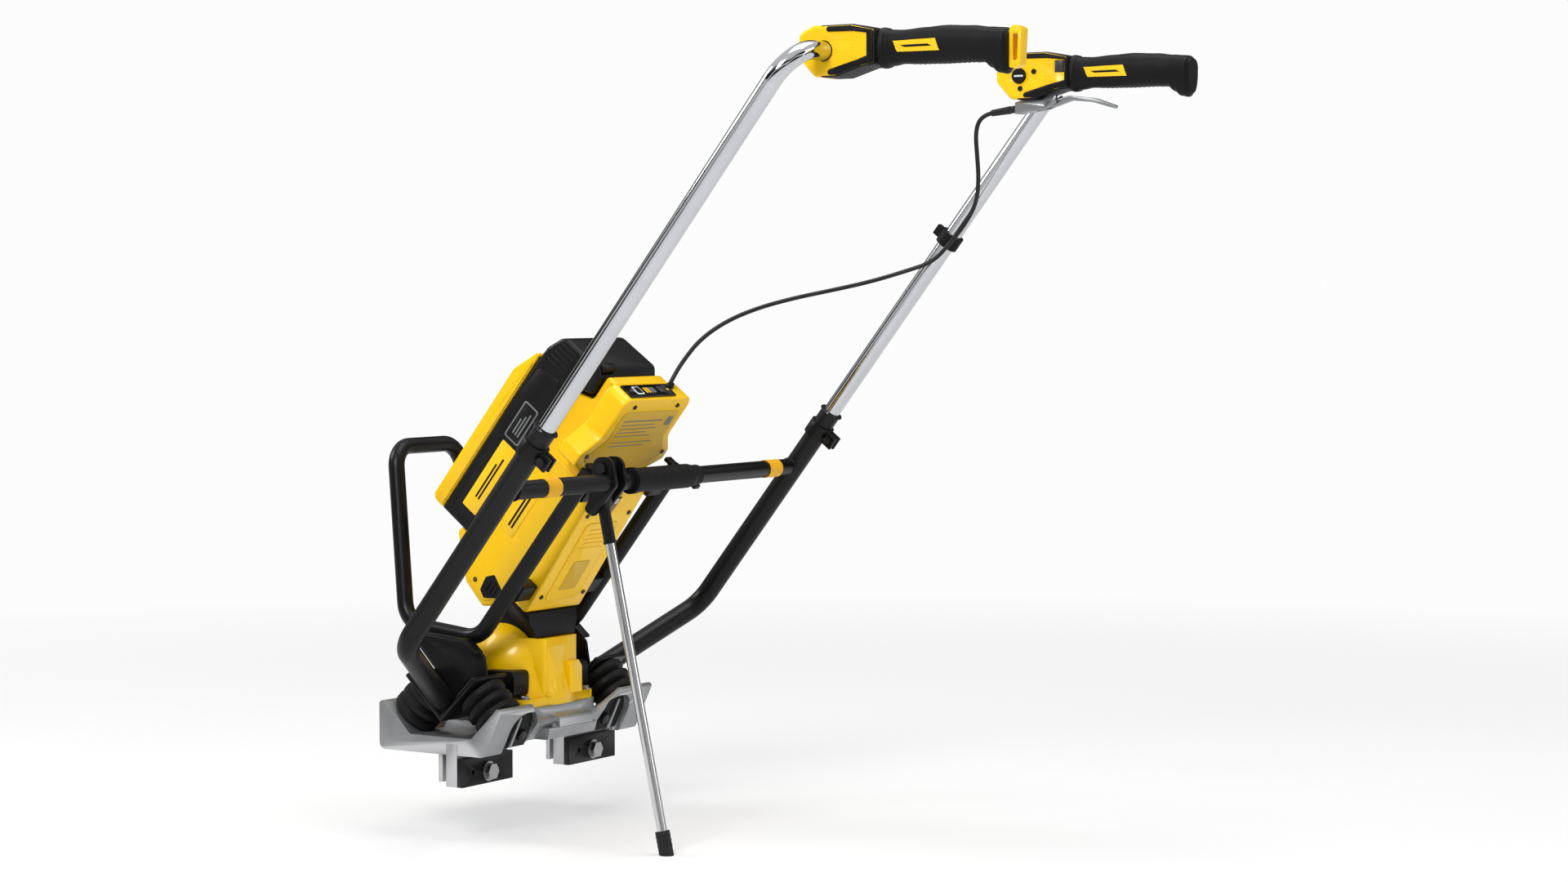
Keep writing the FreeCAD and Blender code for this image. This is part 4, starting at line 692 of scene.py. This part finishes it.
def hub_overmould(side, sign):
    """The grip's soft skin carried forwards over the hub: above, below and round each flank."""
    piece = softened_copy(side + "_hub", 0.002, clear_wells=True)
    piece.data.materials.append(MATERIALS["grip_rubber"])
    split = at(0, HUB_FRONT_SPLIT, 0)
    work = bmesh.new()
    work.from_mesh(piece.data)
    bmesh.ops.bisect_plane(work, geom=work.verts[:] + work.edges[:] + work.faces[:],
                           plane_co=split, plane_no=(0, 1, 0))
    if side == "right":
        open_wells(work)
    for face in work.faces:
        if face.calc_center_median().y < split.y and abs(face.normal.x) < 0.75:
            face.material_index = 1
    work.to_mesh(piece.data)
    work.free()
    finish_shading(piece, 35)
    for flank in (-1, 1):
        beside_button = side == "right" and flank < 0
        back = -458.6 if beside_button else -452
        skin = [(-391, 985.2), (-431, 985.2), (-459.8, 979.6), (-459.8, 942.6), (-444, 941),
                (-412, 931.2), (-396, 931.2), (-404, 937.5), (-440, 947), (back, 951),
                (back, 976.5), (-434, 979), (-402, 979.5)]
        radii = [3, 8, 3, 3, 4, 4, 3, 4, 4, 0, 0, 3, 3]

        def place(y, z, out, flank=flank):
            return at(sign * GRIP_X + flank * (HUB_HALF + out), y, z)
        prism("%s_hub_skin_%s" % (side, "low" if flank < 0 else "high"), skin, place, -1, 1.1,
              "grip_rubber", side + "_handle", radii, 0.0006)


def dial_mark():
    """White pointer in the lock dial's slot."""
    slot_floor = 213.4

    def place(y, z, out):
        return at(slot_floor - out, y, z)
    prism("dial_pointer", [(-402, 957.1), (-389, 957.1), (-389, 959.3), (-402, 959.3)], place,
          -0.2, 0.4, "key_plastic", "dial", 0.8, 0.0, LABEL_WHITE)


def hub_dots(side, sign):
    """Rows of small raised dots on both flanks of the hub."""
    points = []
    faces = []
    for flank in (-1, 1):
        face_x = sign * GRIP_X + flank * HUB_HALF
        for row in range(3):
            for k in range(11):
                y = -432 - row * 5.2
                z = GRIP_Z + 21 - k * 3.9
                base = len(points)
                for radius, height in ((0.95, -0.2), (0.8, 0.35), (0.4, 0.6)):
                    for turn in range(8):
                        angle = math.pi * turn / 4
                        points.append(at(face_x + flank * height, y + radius * math.cos(angle),
                                         z + radius * math.sin(angle)))
                for ring in range(2):
                    for turn in range(8):
                        following = (turn + 1) % 8
                        faces.append([base + ring * 8 + turn, base + ring * 8 + following,
                                      base + (ring + 1) * 8 + following,
                                      base + (ring + 1) * 8 + turn])
                faces.append([base + 16 + turn for turn in range(8)])
                faces.append([base + turn for turn in range(8)][::-1])
    mesh_piece(side + "_hub_dots", points, faces, NODE_SLOT[side + "_hub"], side + "_handle")


def hub_screws():
    """Recessed cross screws on the inner face of the right hub."""
    for i, (y, z) in enumerate(((-416, 963), (-397, 942.5))):
        lathe("hub_screw_%d" % i, [(0.01, -0.6), (3.4, -0.6), (3.4, 0.5), (2.9, 0.9), (1.2, 0.9),
                                   (0.9, 0.1), (0.01, 0.1)],
              at(GRIP_X - HUB_HALF, y, z), (-1, 0, 0), "dark_steel", "right_handle", 20)


# ---------------------------------------------------------------- battery

BATTERY_HALF = 65
TRIM_HALF = 62.9
HEAD_HALF = 58


def flank_map(sign, half):
    """Places (lift, along, height) on one flank of a piece that is twice half wide."""
    def place(lift, along, out):
        return on_head(sign * (half + out), along, lift)
    return place


def label_bars(name, place, level, lifts, alongs, count, body, material):
    """Short plain bars across a label, where a maker's words would be."""
    pitch = (lifts[1] - lifts[0]) / count
    for i in range(count):
        low = lifts[0] + i * pitch
        far = alongs[1] - (alongs[1] - alongs[0]) * 0.18 * i
        prism("%s_%d" % (name, i), [(low, alongs[0]), (low + pitch * 0.5, alongs[0]),
                                    (low + pitch * 0.5, far), (low, far)],
              place, level - 0.4, level + 0.35, "case_plastic", body, 0.5, 0.0, material)


def battery_case():
    """Black case: sculpted flanks, ribs, a handle bridge and a foot."""
    softened_copy("battery_case", 0.004, 4)
    for side, sign in SIDES:
        flank_place = flank_map(sign, BATTERY_HALF)
        raised = [(150, -196), (196, -204), (200, -20), (196, 24), (160, 30), (150, 10)]
        prism("battery_panel_" + side, raised, flank_place, -3, 0.9, "case_plastic", "battery",
              [6, 8, 8, 10, 10, 6], 0.0009)
        for i in range(5):
            along = 40 + i * 7.0
            prism("battery_rib_%s_%d" % (side, i),
                  [(158, along), (192 - i * 1.5, along), (192 - i * 1.5, along + 3),
                   (158, along + 3)], flank_place, -2, 0.9, "case_plastic", "battery",
                  1.2, 0.0005)
        prism("battery_label_" + side, [(157, -190), (183, -190), (183, -84), (157, -84)],
              flank_place, 0.2, 1.25, "yellow_plastic", "battery", 2, 0.0003, LABEL_YELLOW)
        label_bars("battery_bar_" + side, flank_place, 1.1, (165, 175), (-170, -104), 2,
                   "battery", MATERIALS["case_plastic"])
        prism("battery_plate_" + side, [(160, -78), (186, -78), (186, -22), (160, -22)],
              flank_place, 0.2, 1.25, "case_plastic", "battery", 3, 0.0003, LABEL_GREY)
        prism("battery_plate_inlay_" + side, [(162, -76), (184, -76), (184, -24), (162, -24)],
              flank_place, 0.4, 1.45, "case_plastic", "battery", 2, 0.0002,
              MATERIALS["case_plastic"])
        label_bars("battery_plate_bar_" + side, flank_place, 1.3, (166, 180), (-68, -32), 3,
                   "battery", LABEL_GREY)


def battery_trim():
    """Yellow front shell with wrap-round cheeks and raised front ribs."""
    softened_copy("battery_trim", 0.003, 4)
    for side, sign in SIDES:
        cheek = [(208, -213), (224, -213), (224, -12), (212, 22), (208, 22)]
        prism("battery_cheek_" + side, cheek, flank_map(sign, TRIM_HALF), -2, 1.6,
              "yellow_plastic", "battery", [3, 6, 8, 3, 2], 0.001)


# ---------------------------------------------------------------- power head

CONTROL_REAR = 60
PANEL_TOP = 82.5
COVER_FOOT = (-242, 22)
COVER_SLOPE = 13 / 196


def head_flanks():
    """Cheeks, labels, vents and screws on both flanks of the head."""
    for side, sign in SIDES:
        place = flank_map(sign, HEAD_HALF)
        cheek = [(66, -52), (104, -52), (132, -60), (134, -196), (160, -224), (150, -244),
                 (120, -264), (84, -272), (68, -256)]
        prism("head_cheek_" + side, cheek, place, -2, 2.0, "yellow_plastic", "chassis",
              [4, 8, 8, 12, 6, 8, 8, 8, 8], 0.0014)
        prism("head_label_" + side, [(98, -178), (122, -178), (122, -92), (98, -92)], place,
              1.5, 2.7, "yellow_plastic", "chassis", 2, 0.0003, LABEL_YELLOW)
        label_bars("head_bar_" + side, place, 2.6, (105, 116), (-168, -112), 2, "chassis",
                   MATERIALS["case_plastic"])
        prism("head_vent_" + side, [(68, -242), (90, -233), (99, -244), (96, -263),
                                    (85, -268), (70, -256)], place, 1.2, 2.6,
              "black_plastic", "chassis", [3, 3, 4, 4, 3, 3], 0.0006)
        for i in range(3):
            lift = 75 + i * 6.5
            prism("head_vent_bar_%s_%d" % (side, i),
                  [(lift, -258), (lift + 2.6, -258), (lift + 2.6, -243), (lift, -243)], place,
                  2.2, 3.6, "black_plastic", "chassis", 0.8, 0.0003)
        for i, (lift, along) in enumerate(((74, -66), (126, -74), (110, -258), (146, -226))):
            lathe("head_screw_%s_%d" % (side, i),
                  [(0.01, 1.0), (3.2, 1.0), (3.2, 2.3), (2.7, 2.7), (1.3, 2.7), (1.0, 1.9),
                   (0.01, 1.9)], place(lift, along, 0), (sign, 0, 0), "dark_steel",
                  "chassis", 18)


def control_faces():
    """Rear label panel in yellow darkened as painted shade, its blank stickers, the keypad's
    marks and the display.
    """
    def back(x, along, out):
        return on_head(x, along, CONTROL_REAR - out)
    panel = [(-62, 60), (62, 60), (62, 16), (84, -8), (84, -18), (50, -36), (-50, -36),
             (-84, -18), (-84, -8), (-62, 16)]
    # The rear face's label in the darkened yellow: painted shade.
    prism("rear_label_panel", panel, back, -1, 0.7, "yellow_plastic", "chassis",
          [8, 8, 12, 8, 4, 4, 4, 4, 8, 12], 0.0004, LABEL_SHADED_YELLOW)
    for i, (x0, x1, a0, a1) in enumerate(((-52, 34, 44, 46), (-52, 20, 38, 39.4),
                                         (-52, 30, 32, 33.4), (-52, 12, 26, 27.4),
                                         (-52, 26, 20, 21.4), (-52, 38, 10, 11.4),
                                         (-52, 24, 4, 5.4))):
        prism("rear_label_line_%d" % i, [(x0, a0), (x1, a0), (x1, a1), (x0, a1)], back, 0.3,
              0.85, "yellow_plastic", "chassis", 0.5, 0.0, LABEL_GREY)
    prism("rear_label_chip", [(44, 36), (56, 36), (56, 50), (44, 50)], back, 0.3, 0.95,
          "yellow_plastic", "chassis", 1.5, 0.0, LABEL_GREY)

    def top(x, lift, out):
        return on_head(x, PANEL_TOP + out, lift)
    display = [(-44, 67.5), (-29, 67.5), (-29, 82.5), (-44, 82.5)]
    prism("display_frame", display, top, -0.5, 0.5, "panel_plastic", "chassis", 2, 0.0002,
          LABEL_WHITE)
    prism("display_glass", [(-42, 69.5), (-31, 69.5), (-31, 80.5), (-42, 80.5)], top, -0.3, 0.7,
          "panel_plastic", "chassis", 1.5, 0.0, MATERIALS["panel_plastic"])
    for i in range(4):
        x = -22 + i * 6
        prism("gauge_bar_%d" % i, [(x, 70), (x + 4, 70), (x + 4, 80), (x, 80)], top, -0.2, 0.35,
              "panel_plastic", "chassis", 0.8, 0.0, LABEL_GREY if i > 1 else LABEL_YELLOW)
    lathe("panel_lamp", [(0.01, -0.2), (2.0, -0.2), (2.0, 0.3), (1.2, 0.7), (0.01, 0.8)],
          on_head(30, PANEL_TOP, 75), UP_TUBE, "panel_plastic", "chassis", 20, LABEL_YELLOW)
    lathe("cable_gland", [(3.0, -2.5), (5.4, -2.5), (5.4, 1.2), (4.6, 3.2), (3.6, 6.5),
                          (3.0, 6.5)],
          on_head(46.3, 79.6, 82.9), UP_TUBE, "black_plastic", "chassis", 24)


VENT_REAR = 168.6


def vent_slats():
    """Slanting slats on the rear faces of the exciter's side covers."""
    for side, sign in SIDES:
        for i in range(4):
            x = sign * (56 + i * 5.6)

            def back(a, b, out, x=x):
                return at(x + a, VENT_REAR - out, b)
            prism("vent_slat_%s_%d" % (side, i),
                  [(0, 177), (2.6, 177), (5.2 * sign + 2.6, 189), (5.2 * sign, 189)], back,
                  -1, 1.0, "black_plastic", "chassis", 0, 0.0003)


def cover_details():
    """Raised panel, ribs and a blank plate on the motor cover's rear; the plate is yellow
    darkened as painted shade.
    """
    foot, lift = COVER_FOOT

    def back(x, along, out):
        return on_head(x, along, lift + (along - foot) * COVER_SLOPE - out)
    prism("cover_panel", [(-36, -222), (36, -222), (36, -100), (-36, -100)], back, -2, 1.3,
          "yellow_plastic", "chassis", 9, 0.0009)
    # The plate in the darkened yellow: painted shade on a rear-facing face.
    prism("cover_plate", [(-18, -206), (18, -206), (18, -160), (-18, -160)], back, 0.9, 1.9,
          "yellow_plastic", "chassis", 3, 0.0003, LABEL_SHADED_YELLOW)
    for i in range(5):
        along = -140 + i * 7
        prism("cover_rib_%d" % i, [(-22, along), (22, along), (22, along + 2.4),
                                   (-22, along + 2.4)], back, 0.9, 2.2, "yellow_plastic",
              "chassis", 1, 0.0004)


# ---------------------------------------------------------------- exciter and base

EXCITER_Y = 220.5
EXCITER_REAR = 153.6
FLANGE_TOP = 171.0
BOLT_X = 67
BOLT_Y = 57


def exciter_rear():
    """Port block, raised panel and sill on the exciter's rear."""
    def rear(x, z, out):
        return at(x, EXCITER_REAR - out, z)
    prism("exciter_port_block", [(12, 171.5), (38, 171.5), (38, 205), (31, 214), (16, 214),
                                 (12, 209)], rear, -4, 7, "yellow_paint", "chassis",
          [0, 3, 4, 4, 3, 3], 0.0015)
    prism("exciter_rear_panel", [(-30, 178), (6, 178), (6, 236), (-30, 236)], rear, -3, 0.8,
          "yellow_paint", "chassis", 5, 0.0007)
    prism("exciter_rear_sill", [(-34, 172), (34, 172), (34, 176), (-34, 176)], rear, -3, 3,
          "yellow_paint", "chassis", 1, 0.0006)


def exciter_ribs():
    """Cast ribs from the flange up to the dome."""
    for i, turn in enumerate((38, 68, 112, 142, 206, 334)):
        angle = math.radians(turn)
        out = Vector((math.cos(angle), math.sin(angle), 0))
        side = Vector((-out.y, out.x, 0))
        points = []
        profile = [(66, 171), (76, 171), (75, 178), (71, 192), (67.5, 204), (62, 210)]
        for half in (-1.6, 1.6):
            for radius, z in profile:
                points.append(at(0, EXCITER_Y, z) + out * (radius / 1000) + side * (half / 1000))
        faces = ring_faces(2, len(profile))
        rib = mesh_piece("exciter_rib_%d" % i, points, faces, "yellow_paint", None)
        soften(rib, 0.0006, 2)
        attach(rib, "chassis")


def flange_bolts():
    """Bolt heads and washers at the flange's four corners."""
    corners = ((-BOLT_X, -BOLT_Y), (BOLT_X, -BOLT_Y), (-BOLT_X, BOLT_Y), (BOLT_X, BOLT_Y))
    for i, (x, y) in enumerate(corners):
        def place(a, b, out, x=x, y=y):
            return at(x + a, EXCITER_Y + y + b, FLANGE_TOP + out)
        prism("flange_bolt_%d" % i, hexagon(6.2), place, -0.5, 4.5, "bolt_steel", "chassis", 0,
              0.0006)
        lathe("flange_washer_%d" % i, [(0.01, -0.4), (8.2, -0.4), (8.2, 0.8), (7.8, 1.1),
                                       (0.01, 1.1)], at(x, EXCITER_Y + y, FLANGE_TOP), (0, 0, 1),
              "bolt_steel", "chassis", 24)


# The base's leaning rear wall: the foot of its arches, the way up it, and the way into it.
WALL_FOOT = (102, 152.5, 109)
WALL_UP = Vector((0, -29, 62)).normalized()
WALL_IN = Vector((0, 62, 29)).normalized()
ARCH_DEPTH = 8.9


def arch_shade_linings():
    """Dark lining as painted shade deep in each arch of the base's rear wall, with a cast rib and
    a bolt head.
    """
    x, y, z = WALL_FOOT
    for side, sign in SIDES:
        def place(across, up, out, foot=at(sign * x, y, z), sign=sign):
            return (foot + SIDE * (sign * across / 1000) + WALL_UP * (up / 1000)
                    + WALL_IN * ((ARCH_DEPTH - out) / 1000))
        # A thin dark rubber sheet on the arch's floor: painted shade that stands in for the shade
        # deep inside the arch.
        prism("arch_shade_lining_" + side, [(-27.5, 2), (27.5, 2), (27.5, 55), (-27.5, 55)], place,
              0, 0.8, "mount_rubber", "chassis", [0, 0, 24, 24], 0.0003)
        prism("arch_rib_" + side, [(4, 4), (9, 4), (8, 48), (5, 48)], place, 0.5, 4.5,
              "cast_alloy", "chassis", 1, 0.0008)
        prism("arch_bolt_" + side, hexagon(8, -10, 20), place, 0.5, 5.5, "dark_steel",
              "chassis", 0, 0.0006)


STAND_LEAN = math.radians(12.3)
STAND_FOOT = at(-108, -81.4, 0)
STAND_SOCKET = 0.388
FRAME_TUBE_X = 325
TUBE_MOUTH = 94.0


def stand_details():
    """Collar ring on the stand's socket and grooves on its foot."""
    axis = Vector((0, math.sin(STAND_LEAN), math.cos(STAND_LEAN)))
    for i in range(3):
        lathe("foot_groove_%d" % i, [(8.6, -0.8), (9.5, -0.4), (9.5, 0.4), (8.6, 0.8)],
              STAND_FOOT + axis * (0.012 + i * 0.006), axis, "foot_rubber", "stand", 28)
    lathe("socket_ring", [(7.3, 0), (8.3, 0.6), (8.3, 3.4), (7.3, 4)],
          STAND_FOOT + axis * STAND_SOCKET, axis, "black_coat", "stand", 28)


def tube_details():
    """Weld beads at the frame's joints and rolled rims on the collars."""
    bead = [(10.9, -1.0), (12.6, 0.0), (12.4, 1.4), (11.4, 2.2), (10.9, 2.6)]
    for side, sign in SIDES:
        lathe("weld_" + side, bead, on_head(sign * 310.6, 0, 0), (-sign, 0, 0), "black_coat",
              "chassis", 36)
    for side, sign in SIDES:
        top = on_head(sign * FRAME_TUBE_X, TUBE_MOUTH, 0)
        lathe("mouth_rim_" + side, [(11.35, -0.4), (15.4, -0.4), (16.2, 0.2), (15.8, 1.0),
                                    (12.2, 1.2), (11.35, 0.6)], top, UP_TUBE, "black_coat",
              "chassis", 40)


# ---------------------------------------------------------------- build

# CAD nodes that are shown with rounded edges, and how far each is rounded, in metres.
SOFTENED_NODES = {
    "base_casting": 0.0022, "control_housing": 0.002, "motor_cover": 0.002,
    "motor_housing": 0.002, "coupling_boot": 0.003, "gussets": 0.0008,
    "wedge_brackets": 0.0012, "tube_collars": 0.0006, "left_clamp_plate": 0.0012,
    "right_clamp_plate": 0.0012, "throttle_lever": 0.0012, "throttle_bracket": 0.0008,
    "crossbar": 0.0008, "battery_latch": 0.001, "control_panel": 0.0005,
    "power_button": 0.0006, "grip_button": 0.0012, "exciter_housing": 0.0016,
    "vent_covers": 0.0012, "stand_arm": 0.0015, "left_grip_loop": 0.0018,
    "head_mounts": 0.001, "loop_straps": 0.001,
}

studio()
throttle_cable()
for side, sign in SIDES:
    grip(side, sign)
    grip_trim(side, sign)
    hub_overmould(side, sign)
    hub_dots(side, sign)
hub_screws()
battery_case()
battery_trim()
head_flanks()
control_faces()
cover_details()
exciter_rear()
exciter_ribs()
flange_bolts()
arch_shade_linings()
vent_slats()
dial_mark()
stand_details()
tube_details()
for node, width in SOFTENED_NODES.items():
    softened_copy(node, width)
